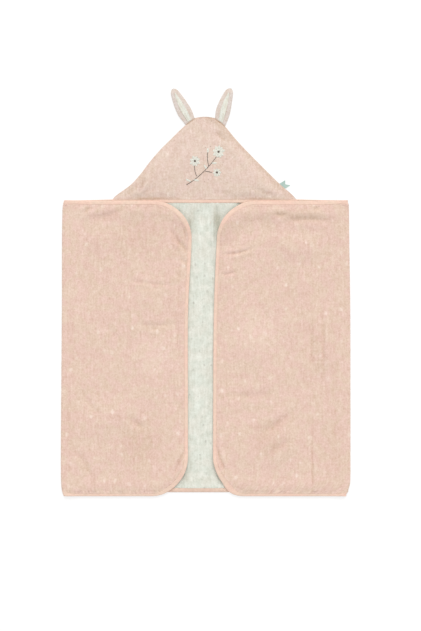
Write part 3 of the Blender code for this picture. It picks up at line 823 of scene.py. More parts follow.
def cutGrid(steps):
    # The flat cut as a grid that ends just inside the tape, and its outline beside that
    cornerSteps, sideSteps, acrossSteps = steps
    inset = tape["width"] + tape["pressedRun"]
    centre = hemTop - towel["corner"]
    radius = towel["corner"] - inset
    cornerRows = centre + radius * np.sin(np.arange(1, cornerSteps + 1) * pi / 2 / cornerSteps)
    sideRows = np.linspace(-centre, centre, sideSteps + 1)
    v = np.concatenate([-cornerRows[::-1], sideRows, cornerRows])
    left, back, right, _, _ = laidSection(v)
    total = cutWidth(v)
    intoCorner = np.maximum(np.abs(v) - centre, 0.0)
    end = inset + radius - np.sqrt(np.maximum(radius**2 - intoCorner**2, 0.0))
    start = left + foldArc
    zone = np.full_like(v, towel["edgeZone"])
    low, high = towel["backShows"]
    stops = [end, zone, left, start, start + back * low, start + back * high, start + back]
    stops = np.array(stops + [total - right, total - zone, total - end])[..., None]
    spans = [
        mix(first, last, np.arange(count) / count)
        for first, last, count in zip(stops, stops[1:], acrossSteps)
    ]
    u = np.concatenate([*spans, stops[-1]], 1)
    rows, columns = u.shape
    u, v, rim = u.ravel(), np.repeat(v, columns), gridRim(rows, columns)
    return u, v, gridFaces(rows, columns), rim, cutOutline(u[rim], v[rim], inset)


def cutOutline(u, v, inset):
    # The cut's edge beside points that lie inset from it, with the way straight in
    _, across, up, onRight = fromSides(u, v)
    ways = unit(np.stack([across * np.where(onRight, 1, -1), up * np.where(v > 0, 1, -1)], -1))
    return np.concatenate([np.stack([u, v], -1) + ways * inset, -ways], -1)


def tapeFrames(outline):
    # At each outline place: the tape's fold, the way in, and the wall's outward ways
    u, v, across, up = outline.T
    wall, width = tape["wall"], tape["width"]
    fold, foldWay = bodyFrame(u + across * wall, v + up * wall)
    edge, edgeWay = bodyFrame(u + across * width, v + up * width)
    inward = (edge - fold) / (width - wall)
    return fold - inward * wall, inward, foldWay, edgeWay


def tapeShare(outline):
    # How much of the body's tape shows at each outline place
    u, v, across, up = outline.T
    left, back, _, _, _ = laidSection(v)
    onFlap = ease(np.maximum(left - u, u - left - back - 2 * foldArc) / tape["showsRun"])
    side, upper, lower, corner = tape["shows"]
    hem = mix(1.0, np.where(v > 0, upper, lower), onFlap)
    return mix(side * across**2 + hem * up**2, corner, (2 * across * up) ** 2)


def rolledHemShade(outline):
    # 1 along the back's lower hem, where the tape gets painted shade
    u, v = outline[:, 0], outline[:, 1]
    left, back, _, _, _ = laidSection(v)
    intoBack = u - left - foldArc
    return ease(np.minimum(intoBack, back - intoBack) / tape["rolledShadeRun"]) * (v < 0)


def narrowed(depth, share):
    near = tape["wall"] + gap
    return np.where(depth > near, near + (depth - near) * share, depth)


def tapePoint(frames, width, depth, height):
    fold, inward, foldWay, edgeWay = frames
    depth = np.asarray(depth, float)[..., None]
    way = mix(foldWay, edgeWay, depth / width)
    return fold + inward * depth + way * np.asarray(height, float)[..., None]


def tapeSection(width):
    # Distance in from the fold and height off the cloth's middle: a soft fold, a flatter free edge
    half, slot = tape["half"], tape["slot"]
    turns = np.arange(4) * pi / 8
    outer = [(width - inward, half * thick) for inward, thick in tape["edge"]]
    outer += [(width * across, half * thick) for across, thick in tape["flat"]]
    outer += [(half * (1 - np.sin(turn)), half * np.cos(turn)) for turn in turns]
    inner = [(tape["wall"], slot), (width * 0.5, slot), (width, slot)]
    under = [(depth, -height) for side in (outer, inner) for depth, height in side[::-1]]
    return np.array(outer + [(0.0, 0.0)] + under + inner)


def makeTape(label, frames, along, width, closed, share=1.0, rolledShade=0.0):
    # A folded band, run round into itself or capped at both ends
    section, along = tapeSection(width), along[:, None]
    share, rolledShade = (np.broadcast_to(part, len(along))[:, None] for part in (share, rolledShade))
    much, wave = tape["uneven"]
    depth = narrowed(section[:, 0] * (1 + much * ripple(along, wave, 3.0) / width), share)
    much, wave = tape["plump"]
    thick = np.abs(section[:, 1]) > tape["slot"] * 1.01
    height = section[:, 1] * np.where(thick, 1 + much * ripple(along, wave, 6.0), 1.0)
    rings = tapePoint([part[:, None] for part in frames], width, depth, height)
    rings[..., 2] = np.maximum(rings[..., 2], 0.0)
    flat = np.broadcast_arrays(along, depth * np.sign(section[:, 1] + 1e-9))
    start, end = tape["rolledShadeFrom"]
    # painted shade on the back's lower hem
    pressed = tape["rolledShade"] * rolledShade * ease((start - section[:, 0] / width) / (start - end))
    ids = np.arange(depth.size).reshape(depth.shape)
    faces = tubeFaces(ids, np.roll(ids, -1, 0)) if closed else tubeFaces(ids[:-1], ids[1:])
    half = len(section) // 2
    for end in () if closed else (ids[0], ids[-1]):
        faces += tubeFaces(end[:half], end[::-1][:half])[:-1]
    cut = np.stack(flat, -1).reshape(-1, 2)
    return makePiece(label, rings.reshape(-1, 3), faces, [tapeCloth], cut, None, pressed.ravel())


def alongLine(places):
    steps = np.linalg.norm(np.diff(places, axis=0), axis=1)
    return np.concatenate([[0.0], np.cumsum(steps)])


def bodySide(steps, side):
    # One face of the body's wall, side 1 outside and -1 inside, from its middle to inside the tape
    u, v, faces, rim, outline = cutGrid(steps)
    middle, way = bodyFrame(u, v)
    offFloor = 1.0 if side < 0 else grow(middle[:, 2], *towel["pileFrom"])
    pile = seeded.normal(0.0, towel["pile"], len(u)) * offFloor
    places = middle + way * side * (towel["wall"] / 2 + pile)[:, None]
    cut, faces = np.stack([u, v], -1), faces.tolist()
    frames, showing = tapeFrames(outline), tapeShare(outline)
    edge = tape["width"]
    held = (edge + tape["pressedStart"], edge * 0.5, tape["wall"] + gap)
    rings = [(edge + past, share) for past, share in tape["rise"]] + [(depth, 0.0) for depth in held]
    for depth, share in rings:
        wall = mix(towel["pressed"], towel["wall"], share) / 2
        ring = np.arange(len(rim)) + len(places)
        depth = narrowed(np.full(len(rim), depth), showing)
        places = np.concatenate([places, tapePoint(frames, edge, depth, side * wall)])
        cut = np.concatenate([cut, outline[:, :2] + outline[:, 2:] * depth[:, None]])
        faces += stripFaces(rim, ring).tolist()
        rim = ring
    places[:, 2] = np.maximum(places[:, 2], 0.0)
    # painted light and shade, partly nap, on both faces
    pressed = np.pad(bodyShadeAndNap(u, v, side), (0, len(places) - len(u)))
    around = alongLine(np.concatenate([outline, outline[:1]])[:, :2])
    return places, faces, rim, cut, pressed, outline, around, frames


def makeBody():
    outer, outerFaces, outerRim, outerCut, outerPressed, outline, along, frames = bodySide(
        towel["outerSteps"], 1
    )
    inner, faces, rim, cut, pressed, _, innerAlong, _ = bodySide(towel["innerSteps"], -1)
    rim, faces = rim + len(outer), [[k + len(outer) for k in face] for face in faces]
    edgeFaces = bridgeFaces(outerRim, along / along[-1], rim, innerAlong / innerAlong[-1])
    piece = makePiece(
        ("towelBody", "terry_outside", "towel_body"),
        np.concatenate([outer, inner]),
        outerFaces + faces + edgeFaces,
        [outside, inside],
        np.concatenate([outerCut, cut]),
        [0] * len(outerFaces) + [1] * len(faces) + [0] * len(edgeFaces),
        np.concatenate([outerPressed, pressed]),
    )
    label = ("bodyTape", "binding_tape", "body_binding")
    # how much of the tape shows, and its painted shade on the back's lower hem
    share, rolledShade = tapeShare(outline), rolledHemShade(outline)
    binding = makeTape(label, frames, along[:-1], tape["width"], True, share, rolledShade)
    extra = [binding, makeBodyStitches(outline, along)]


def makeBodyStitches(outline, along):
    # On the outer side of the flaps and folds, and on the lined side of the back
    looped = np.concatenate([outline, outline[:1]])
    count = int(along[-1] / (tape["stitchLength"] + tape["stitchGap"]))
    starts = np.arange(count) * along[-1] / count
    found = []
    for at in (starts, starts + tape["stitchLength"]):
        there = np.stack([np.interp(at, along, column) for column in looped.T], -1)
        there[:, 2:] = unit(there[:, 2:])
        left, back, _, _, _ = laidSection(there[:, 1])
        intoBack = there[:, 0] - left
        onBack = (intoBack > foldArc * 0.8) & (intoBack < back + foldArc * 1.2)
        side = np.where(onBack, -1.0, 1.0)
        depth = narrowed(np.full(count, tape["width"] - tape["stitchInset"]), tapeShare(there))
        frames = tapeFrames(there)
        height = side * tape["half"] * tape["stitchHeight"][0]
        found.append((tapePoint(frames, tape["width"], depth, height), side, frames[3] * side[:, None]))
    (first, side, ways), (last, lastSide, _) = found
    keep = side == lastSide
    label = ("bodyTapeStitches", "binding_tape")
    sizes = (tape["stitchRadius"], tape["stitchArch"])
    return makeStitches(label, tapeThread, first[keep], last[keep], ways[keep], *sizes)


hood = {
    # height, left side, right side
    "rows": (
        (0.3434, -0.225, 0.2165), (0.3552, -0.2175, 0.2085), (0.3836, -0.1815, 0.1785),
        (0.412, -0.1555, 0.1495), (0.4404, -0.134, 0.1212), (0.4688, -0.1095, 0.0932),
        (0.4971, -0.0812, 0.0672), (0.5255, -0.0515, 0.0432), (0.5446, -0.0262, 0.019),
    ),
    "dome": 0.003,  # the top edge's rise between the ears
    "domeRun": 0.06,
    "near": (0.0, 0.0004, 0.001, 0.002, 0.0034, 0.0052, 0.0074, 0.01),  # grid lines beside its edges
    "slant": 1.3,  # how much longer those are along a row, across the slanted sides
    "frontSteps": (74, 136),  # up and across
    "backSteps": (30, 50),
    "backHemRun": 0.05,  # over which the back follows the bow of the body's hem
    "puff": 0.0028,  # how far the front stands off the back
    "puffRun": 0.065,
    "rim": 0.0012,  # wall at the side seams
    "rimRun": 0.01,
    # the flaps lie on its hem: how far in from their top edge and past its ends, and over what run
    "rest": (0.012, 0.065),
    "restPast": (0.03, 0.04),
    "hemRun": 0.02,
    # where the flaps hold it down it swells up just above them: rise, where that starts, run
    "swell": (0.0046, 0.002, 0.018),
    "swellFrom": (0.045, 0.03),  # half of the stretch between the flaps, where it swells less
    "swellLeast": 0.35,
    "calmEdge": 0.25,  # share of its creases' height at its edges
    "calmRun": (0.03, 0.02),  # in from a side seam and up from the hem
    "stopSoft": 0.0003,  # how softly its wall stops where it meets the back
    "stopRun": 0.004,  # from a side seam, where it lies right on the back
    "seamRise": (0.0004, 0.02),  # its slow rise in from a side seam: height and run
    # small puckers beside the seams and the hem: rise; wave, where highest, run
    "gather": 0.0002,
    "seamGathers": (0.013, 0.006, 0.014),
    "hemGathers": (0.014, 0.004, 0.018),
    "pile": 0.0001,
    "pileFrom": 0.013,  # above its lower edge
    # x and y of both ends, bow, half width, rise
    "creases": (
        (-0.1455, 0.399, -0.158, 0.371, 0, 0.0048, -0.0046),
        (-0.1535, 0.39, -0.164, 0.369, 0, 0.0048, 0.0016),
        (-0.15, 0.396, -0.199, 0.358, -0.002, 0.009, -0.0028),
        (-0.12, 0.378, -0.15, 0.362, 0.002, 0.009, -0.0015),
        (0.02, 0.509, 0.05, 0.487, -0.002, 0.01, -0.002), (0.11, 0.378, 0.16, 0.362, 0.002, 0.009, -0.0017),
        (-0.098, 0.43, -0.062, 0.484, 0.003, 0.012, -0.0012),
        (0.085, 0.42, 0.062, 0.452, 0.002, 0.012, -0.0012), (-0.02, 0.52, 0.002, 0.5, 0.002, 0.01, -0.001),
        (0.01, 0.366, 0.07, 0.369, 0.001, 0.008, -0.001),
    ),
    # the same rows as the towel's, of painted light and shade, partly nap; the two long thin ones are
    # painted shadow just above the flaps' upper edges
    "napAndShade": (
        (-0.15, 0.398, 0.075, 0.04, 20, 0.6), (0.143, 0.392, 0.065, 0.034, -20, 0.5),
        (0.038, 0.502, 0.028, 0.014, -35, 1), (-0.02, 0.47, 0.06, 0.04, 0, -0.3),
        (0.08, 0.445, 0.03, 0.02, 0, -0.3), (-0.126, 0.3535, 0.09, 0.0065, 0, 3.2),
        (0.118, 0.353, 0.1, 0.0055, 0, 2.4),
    ),
    # painted shade beside the left and right seam: how dark, and how far in
    "seamPress": ((0.7, 0.005), (1.5, 0.018)),
    "rootShade": 3.4,  # painted shade beside the seam that holds an ear
    "rootShadeRun": 0.003,
    "rootShadeSoft": 0.001,  # at both ends of that seam
}
hoodLower, hoodTip = hood["rows"][0][0], hood["rows"][-1][0]
hoodWidth = hood["rows"][0][2] - hood["rows"][0][1]
hemMiddle = 3 * tape["half"] + gap  # height of the hood's hem, which lies on the body's


def hoodSide(side, y):
    return readTable(hood["rows"], y)[0 if side < 0 else 1]


def hoodSideWay(side, y):
    # The way out of the hood at its side seam
    step = 0.001
    run = hoodSide(side, y + step) - hoodSide(side, y - step)
    return unit(points(side * 2 * step, -side * run))


def seamPoint(side, y):
    # Just outside the hood at its side seam
    return points(hoodSide(side, y), y) + hoodSideWay(side, y) * gap


def seamDistance(x, y):
    left, right = readTable(hood["rows"], y)
    fromLeft = (x - left) * -hoodSideWay(-1, y)[..., 0]
    fromRight = (right - x) * hoodSideWay(1, y)[..., 0]
    return np.maximum(np.minimum(np.minimum(fromLeft, fromRight), hoodTip - y), 0.0)


def hoodWall(distance):
    share = np.minimum(distance / hood["rimRun"], 1.0)
    return mix(hood["rim"], towel["wall"], np.sqrt(1 - (1 - share) ** 2))


def gathers(place, distance, row, seed):
    wave, highest, run = row
    return hood["gather"] * ripple(place, wave, seed) * hump((distance - highest) / run)


def hoodFrontBase(x, y, distance):
    # The front's lower face: on the body's hem at its lower edge, off the back in its middle
    floor = towel["wall"] + gap
    aboveHem = y - hoodLower - tape["hoodWidth"]
    raised = hemMiddle - towel["wall"] / 2 - floor
    puffRun, (sideRun, hemRun) = hood["puffRun"], hood["calmRun"]
    puff = hood["puff"] * grow(distance, 0, puffRun) * grow(aboveHem, 0, puffRun)
    rise, start, run = hood["swell"]
    held = mix(hood["swellLeast"], 1.0, grow(np.abs(x - towel["parting"]), *hood["swellFrom"]))
    inner = grow(distance, 0, sideRun)
    swell = rise * held * grow(aboveHem, start, run) * inner
    waves = creaseRelief(x, y, hood["creases"]) + handWaves(x + 0.3, y)
    relief = waves * mix(hood["calmEdge"], 1.0, inner * grow(aboveHem, 0, hemRun)) + puff + swell
    relief = relief + gathers(y * 1.4 + 3.0 * (x > 0), distance, hood["seamGathers"], 2.0)
    rise, run = hood["seamRise"]
    relief = relief + gathers(x, aboveHem, hood["hemGathers"], 8.0) + rise * grow(distance, 0, run)
    soft = hood["stopSoft"]
    atSeam = soft * np.log(2) * fade(distance, 0, hood["stopRun"])
    return floor + raised * fade(aboveHem, 0, hood["hemRun"]) + softStop(relief, soft) - atSeam


def hoodGrid(heights, steps):
    # x, y and distance from the seams, in rows that start with the heights given
    near = np.array(hood["near"])
    inner = np.linspace(heights[-1], hoodTip - near[-1], steps[0] + 1)[1:]
    y = np.concatenate([heights, inner, hoodTip - near[-2::-1]])[:, None]
    left, right = readTable(hood["rows"], y)
    sides = near * hood["slant"]
    middle = mix(left + sides[-1], right - sides[-1], np.arange(1, steps[1]) / steps[1])
    x = np.concatenate([left + sides, middle, right - sides[::-1]], 1)
    across = 2 * (x - left) / (right - left) - 1
    y = y + hood["dome"] * (1 - across**2) * ease(1 - (hoodTip - y) / hood["domeRun"])
    columns = x.shape[1]
    x, y = x.ravel(), y.ravel()
    return x, y, seamDistance(x, y), columns


def earRootShade(ear, x, y, distance):
    # Painted shade on the hood where an ear is sewn in
    _, _, side, low, high = ear[:5]
    beside = ease((np.minimum(y - low, high - y) + gap) / hood["rootShadeSoft"]) * (x * side > 0)
    return hood["rootShade"] * fade(distance, 0, hood["rootShadeRun"]) * beside


def makeHoodBack():
    x, y, distance, columns = hoodGrid([hemTop + gap], hood["backSteps"])
    _, back, _, leftCentre, _ = laidSection(np.full(len(x), hemTop))
    bow = towel["upperBow"] * betweenFolds(x - leftCentre, back)
    y = y + bow * fade(y, hemTop, hood["backHemRun"])
    low = np.maximum(towel["wall"] - hoodWall(distance), 0.0)
    label = ("hoodBack", "terry_outside", "hood_back")
    cut = np.stack([x, y], -1)
    return makeShell(label, hoodTerry, points(x, y), low, towel["wall"], columns, cut)


def makeHoodFront():
    edge = tape["hoodWidth"]
    depths = [tape["wall"] + gap, edge * 0.5, edge + tape["pressedStart"]]
    depths += [edge + past for past, _ in tape["rise"][::-1]] + [edge + tape["pressedRun"]]
    shares = [0.0, 0.0, 0.0] + [share for _, share in tape["rise"][::-1]]
    x, y, distance, columns = hoodGrid([hoodLower + depth for depth in depths], hood["frontSteps"])
    thick = hoodWall(distance)
    centre = hoodFrontBase(x, y, distance) + thick / 2
    for k, share in enumerate(shares):
        row = slice(k * columns, (k + 1) * columns)
        thick[row] = mix(towel["pressed"], thick[row], share)
        centre[row] = mix(hemMiddle, centre[row], share)
    pile = seeded.normal(0.0, hood["pile"], len(x)) * (y > hoodLower + hood["pileFrom"])
    # painted light and shade from the hood's creases and rows, partly nap
    pressed = creaseShadeAndNap(x, y, hood)
    # painted shade beside the hood's side seams
    for side, (share, run) in zip((-1, 1), hood["seamPress"]):
        pressed = pressed + share * fade(distance, 0, run) * (x * side > 0)
    # painted shade where the ears are sewn in
    for ear in ears["pair"]:
        pressed = pressed + earRootShade(ear, x, y, distance)
    label = ("hoodFront", "terry_outside", "hood_front")
    cut = np.stack([x, y], -1)
    low, high = centre - thick / 2, centre + thick / 2 + pile
    return makeShell(label, hoodTerry, points(x, y), low, high, columns, cut, pressed)


def hoodHem(along):
    # The hood's hem as a tape's frames, at distances along it
    fold = points(hood["rows"][0][1] + along, hoodLower, hemMiddle)
    ahead, up = (np.broadcast_to(way, fold.shape) for way in ([0.0, 1.0, 0.0], upward))
    return fold, ahead, up, up


def makeHoodTape():
    width = tape["hoodWidth"]
    along = np.linspace(0.0, hoodWidth, 111)
    label = ("hoodTape", "binding_tape", "hood_binding")
    binding = makeTape(label, hoodHem(along), along, width, False)
    pitch = tape["stitchLength"] + tape["stitchGap"]
    starts = pitch * (np.arange(int(hoodWidth / pitch) - 1) + 0.5)
    depth, height = width - tape["stitchInset"], tape["half"] * tape["stitchHeight"][1]
    first, last = (
        tapePoint(hoodHem(at), width, np.full(len(at), depth), height)
        for at in (starts, starts + tape["stitchLength"])
    )
    label = ("hoodTapeStitches", "binding_tape")
    sizes = (tape["stitchRadius"], tape["stitchArch"])
    return [binding, makeStitches(label, tapeThread, first, last, upward, *sizes)]


def makeHood():
    back, front = makeHoodBack(), makeHoodFront()
    for piece, extra in ((back, []), (front, makeHoodTape())):
        low = min(vertex.co.y for vertex in piece.data.vertices)
        y = np.linspace(low, hoodTip, 200)
        left, right = readTable(hood["rows"], y)


ears = {
    # name, CAD nodes' name, side, lower and upper end of the root on the hood's side, tip x and y,
    # and how far the middle bends outward
    "pair": (
        ("earLeft", "ear_left", -1, 0.5278, 0.5438, -0.0795, 0.6137, 0.0008),
        ("earRight", "ear_right", 1, 0.5245, 0.5438, 0.0572, 0.615, -0.0014),
    ),
    # share of the length, half width, half width of the inner panel
    "rows": (
        (0, 0.0154, 0.0054), (0.15, 0.0165, 0.0062), (0.32, 0.0169, 0.0066), (0.52, 0.0156, 0.0058),
        (0.7, 0.0131, 0.004), (0.84, 0.0106, 0.0018), (0.94, 0.0076, 0.001), (1, 0.0022, 0.001),
    ),
    "wall": 0.002,
    "puff": 0.0012,
    "rim": 0.0009,
    "root": 0.3,
    "tip": 0.12,
    "steps": (44, 22),
    "cutLength": 0.087,
    "wrinkle": (0.00025, 0.021),
    "pile": 0.00006,
    "rimShade": 0.5,  # how dark the painted shade is at its rim
    # painted shade at its root, where it meets the hood
    "rootShade": 2.6,
    "rootShadeRun": 0.035,  # a share of its length
    "panel": 0.0007,
    "panelRim": 0.0004,
    "panelEnds": (0.03, 0.86),  # shares of the ear's length
    "panelSteps": (36, 10),
    # beside the panel, where its stitches draw the ear in: depth, where deepest, run
    "groove": (0.00012, 0.0008, 0.002),
    "grooveEnds": (0.05, 0.2),  # how far it runs out at the root and the tip, as shares of the length
    "rowEase": 1.25,  # above 1, rows of points are closer together at the tip
    "panelFall": (0.5, 0.03),  # the panel's share of its height at its ends, and the run to all of it
    "panelGap": 0.3,  # the gap below the panel, as a share of the usual one
    "stitches": (0.05, 0.8, 0.034, 0.024),  # from, to, pitch and length, as shares of its length
    "stitchInset": 0.0009,
    "stitchHeight": 0.86,  # a share of the panel
    "stitchRadius": 0.00018,
}


def earPoint(ear, share, across, halfWidth):
    # Share of the length from the root, across from -1 inner to 1 outer
    _, _, side, low, high, tipX, tipY, bend = ear
    root = seamPoint(side, mix(high, low, (across * halfWidth / ears["rows"][0][1] + 1) / 2))
    middle = seamPoint(side, (low + high) / 2)
    along = np.array([tipX, tipY, 0.0]) - middle
    outward = unit(np.array([along[1], -along[0], 0.0])) * side
    offset = across * halfWidth + bend * np.sin(pi * share)
    free = middle + along * share[:, None] + outward * offset[:, None]
    clear = ease(share / ears["root"])[:, None]
    return mix(root, free, clear) + along * share[:, None] * (1 - clear)


def earPillow(share, across):
    # 1 over the middle of the ear, 0 at its rim
    return np.sqrt(np.maximum(1 - across**4, 0.0)) * ease((1 - share) / ears["tip"])


def earFaces(share, across):
    # Lower and upper face of the ear's front
    pillow = earPillow(share, across)
    base = ears["wall"] + gap + ears["puff"] * pillow * ease(share / ears["root"])
    return base, base + mix(ears["rim"], ears["wall"], pillow)


def earGrid(ear, shares, steps, column):
    # Places over the ear, or over its panel, and their flat cut
    share, across = pairs(shares, np.sin(np.linspace(-pi / 2, pi / 2, steps + 1)))
    widths = readTable(ears["rows"], share)
    half = widths[column]
    cut = np.stack([across * half, share * ears["cutLength"]], -1)
    return share, across, widths, earPoint(ear, share, across, half), cut


def makeEar(ear):
    name, node, side = ear[:3]
    lengthSteps, steps = ears["steps"]
    shares = 1 - (1 - np.linspace(0, 1, lengthSteps + 1)) ** ears["rowEase"]
    share, across, (half, panelHalf), place, cut = earGrid(ear, shares, steps, 0)
    pillow = earPillow(share, across)
    low, high = earFaces(share, across)
    depth, deepest, run = ears["groove"]
    groove = depth * hump((np.abs(across) * half - panelHalf - deepest) / run)
    rootRun, tipRun = ears["grooveEnds"]
    groove = groove * ease((1 - share) / tipRun) * ease(share / rootRun)
    pile = seeded.normal(0.0, ears["pile"], len(share))
    rise, wave = ears["wrinkle"]
    wrinkle = rise * ripple(share * 0.09 + across * 0.004, wave, 2.0 + side) * pillow
    # painted shade at the ear's rim and at its root
    pressed = ears["rimShade"] * (1 - pillow) + ears["rootShade"] * fade(share, 0, ears["rootShadeRun"])
    under = ears["wall"] - mix(ears["rim"], ears["wall"], pillow)
    length = float(np.linalg.norm(place[-1] - place[0]))
    widths = 2 * readTable(ears["rows"], np.linspace(0, 1, 50))[0]
    layers = (("back", under, ears["wall"]), ("front", low, high - groove + pile + wrinkle))
    for layer, bottom, top in layers:
        label = (name + layer.capitalize(), "terry_outside", f"{node}_{layer}")
        piece = makeShell(label, earTerry, place, bottom, top, steps + 1, cut, pressed)
    makeEarPanel(ear, length)


def makeEarPanel(ear, length):
    name, node = ear[:2]
    lengthSteps, steps = ears["panelSteps"]
    first, last = ears["panelEnds"]
    shares = np.linspace(first, last, lengthSteps + 1)
    share, across, (half, panelHalf), place, cut = earGrid(ear, shares, steps, 1)
    top = earFaces(share, across * panelHalf / half)[1]
    least, run = ears["panelFall"]
    ends = ease(np.minimum(share - first, last - share) / run)
    crown = np.sqrt(np.maximum(1 - across**6, 0.0)) * mix(least, 1.0, ends)
    pile = seeded.normal(0.0, ears["pile"], len(share))
    high = top + gap + mix(ears["panelRim"], ears["panel"], crown) + pile * crown
    label, low = (name + "Panel", "terry_inside", node + "_inner"), top + gap * ears["panelGap"]
    panel = makeShell(label, panelTerry, place, low, high, steps + 1, cut)
    extra, rests = [makeEarStitches(ear)], [name + "Front"]
    length = length * (last - first)
    size = (float(2 * panelHalf.max()), length)
    area = float(2 * np.mean(readTable(ears["rows"], shares)[1]) * length)


def makeEarStitches(ear):
    # A line of small stitches just inside each edge of the panel
    first, last, pitch, length = ears["stitches"]
    shares, edges = np.arange(first, last, pitch), (-1.0, 1.0)
    found = []
    for at in (shares, shares + length):
        edge, share = pairs(edges, at)
        half, panelHalf = readTable(ears["rows"], share)
        across = edge * (1 - ears["stitchInset"] / panelHalf)
        top = earFaces(share, across * panelHalf / half)[1] + gap + ears["panel"] * ears["stitchHeight"]
        found.append(earPoint(ear, share, across, panelHalf) + upward * top[:, None])
    label = (ear[0] + "Stitches", "thread_light")
    return makeStitches(label, lightThread, *found, upward, ears["stitchRadius"], ears["stitchRadius"])


ribbon = {
    "root": (0.377, 0.389),  # heights of its two edges on the hood's side
    "length": 0.016,
    "notch": 0.007,
    "lean": (0.85, 0.53),
    "heights": (0.0016, 0.0003),
    "wall": 0.0009,
    "steps": (16, 12),
    "curl": 0.0012,
    "ridges": (0.00006, 0.002),  # across it: height and spacing
}


def makeRibbon():
    lengthSteps, acrossSteps = ribbon["steps"]
    long, notch = ribbon["length"], ribbon["notch"]
    lean = unit(np.array([*ribbon["lean"], 0.0]))
    share, step = pairs(np.linspace(0, 1, acrossSteps + 1), np.linspace(0, 1, lengthSteps + 1))
    reach = (long - notch * (1 - np.abs(2 * share - 1))) * step
    y = mix(*ribbon["root"], share)
    root = seamPoint(1, y)
    low = mix(*ribbon["heights"], ease(reach / long))
    low = low + ribbon["curl"] * (reach / long) ** 2 * (0.5 + 0.5 * share)
    rise, spacing = ribbon["ridges"]
    high = low + ribbon["wall"] + rise * np.cos(2 * pi * reach / spacing)
    place, cut = root + lean * reach[:, None], np.stack([reach, y], -1)
    label = ("sideRibbon", "ribbon", "side_ribbon")
    piece = makeShell(label, ribbonCloth, place, low, high, lengthSteps + 1, cut)
    edge = root[-1] - root[0]
    width = float(abs(edge[0] * lean[1] - edge[1] * lean[0]))


sprig = {
    # x, y, petals' reach, number of petals, turn in degrees
    "daisies": (
        (0.029, 0.464, 0.014, 9, 8), (-0.027, 0.442, 0.0124, 8, 25), (0.025, 0.415, 0.0098, 8, 50),
    ),
    # stems: x and y of start, middle pull and end
    "stems": (
        (-0.047, 0.386, -0.008, 0.408, 0.0245, 0.453), (-0.0225, 0.406, -0.029, 0.42, -0.0275, 0.431),
        (-0.003, 0.4185, 0.008, 0.416, 0.014, 0.4155), (0.006, 0.429, 0.001, 0.448, 0.003, 0.462),
    ),
    # leaves: x and y of the root, length, turn in degrees
    "leaves": (
        (-0.037, 0.3935, 0.0125, 150), (-0.03, 0.3985, 0.0125, -15), (0.0005, 0.4235, 0.011, 118),
        (0.013, 0.4375, 0.0115, -2), (0.003, 0.462, 0.0105, 82),
    ),
    # seeds: x, y, size
    "seeds": (
        (-0.002, 0.474, 0.0007), (0.0095, 0.4765, 0.0006), (-0.012, 0.462, 0.0006), (0.04, 0.439, 0.0007),
        (0.046, 0.447, 0.0005), (-0.043, 0.419, 0.0006), (-0.004, 0.393, 0.0006), (0.005, 0.3985, 0.0007),
    ),
    "petalWidth": 0.0037 / 0.0122,  # half of it, as a share of its reach
    "heart": 0.0029,
    # how much the petals' turns and reaches vary, and at what pace from petal to petal
    "petalTurns": (0.1, 5.1),
    "petalReaches": (0.06, 3.7),
    "knots": 26,
    "knotTurn": 2.39996,  # from knot to knot, in radians, as in a sunflower
    "knotReach": 0.92,  # how much of the heart they fill
    "knotLength": (0.0006, 0.0002),
    # the outline of a petal or leaf: where its sine starts, how far it runs and how blunt it is
    "satinShape": (0.1, 0.82, 0.7),
    "leafStart": 0.0006,
    "leafWidth": 0.0028,  # half of it
    "leafSlant": 0.55,
    "threadPitch": 0.00052,
    "stemStep": 0.0022,
    "stemPitch": 0.62,  # from stitch to stitch, as a share of that
    "stemEnd": 0.6,  # how much of a stitch fits before the stem's end
    "stemAhead": 0.0004,  # how far ahead a stitch looks for its way
    "stemSlant": 0.00016,
    "lift": 0.00012,  # off the hood
    # radius and arch of each kind of thread
    "petalThread": (0.00034, 0.00055),
    "knotThread": (0.00052, 0.0005),
    "stemThread": (0.00055, 0.0003),
    "seedThread": (0.00075, 0.0004),
}


def sewn(name, slotName, finish, lines, sizes):
    # Lines of two ends each, laid on the hood
    found = []
    for x, y in np.moveaxis(np.array(lines), 0, -1):
        distance = seamDistance(x, y)
        top = hoodFrontBase(x, y, distance) + hoodWall(distance)
        found.append(points(x, y, top + sprig["lift"]))
    makeStitches((name, slotName), finish, *found, upward, *sizes)


def satinLines(rootX, rootY, turn, start, end, halfWidth, slant=0.0):
    # Threads side by side across a petal or leaf
    count = int((end - start) / sprig["threadPitch"])
    share = np.linspace(0, 1, count + 1)[:, None]
    first, run, blunt = sprig["satinShape"]
    off = halfWidth * np.sin(pi * (first + run * share)) ** blunt * np.array([-1, 1])
    along = mix(start, end, share) + slant * off
    x = rootX + np.cos(turn) * along - np.sin(turn) * off
    return np.stack([x, rootY + np.sin(turn) * along + np.cos(turn) * off], -1).tolist()


def stemLines(row):
    # Short slanted stitches that overlap along a bent line
    start, pull, end = np.array(row).reshape(3, 2)
    share = np.linspace(0, 1, 60)[:, None]
    curve = start * (1 - share) ** 2 + 2 * pull * share * (1 - share) + end * share**2
    length, step = alongLine(curve), sprig["stemStep"]
    starts = np.arange(0, length[-1] - step * sprig["stemEnd"], step * sprig["stemPitch"])
    ends = []
    for at, off in ((starts, -sprig["stemSlant"]), (starts + step, sprig["stemSlant"])):
        here, ahead = (
            np.stack([np.interp(place, length, column) for column in curve.T], -1)
            for place in (at, at + sprig["stemAhead"])
        )
        way = unit(ahead - here + 1e-9)
        ends.append(here + way[:, ::-1] * (-off, off))
    return np.stack(ends, 1).tolist()


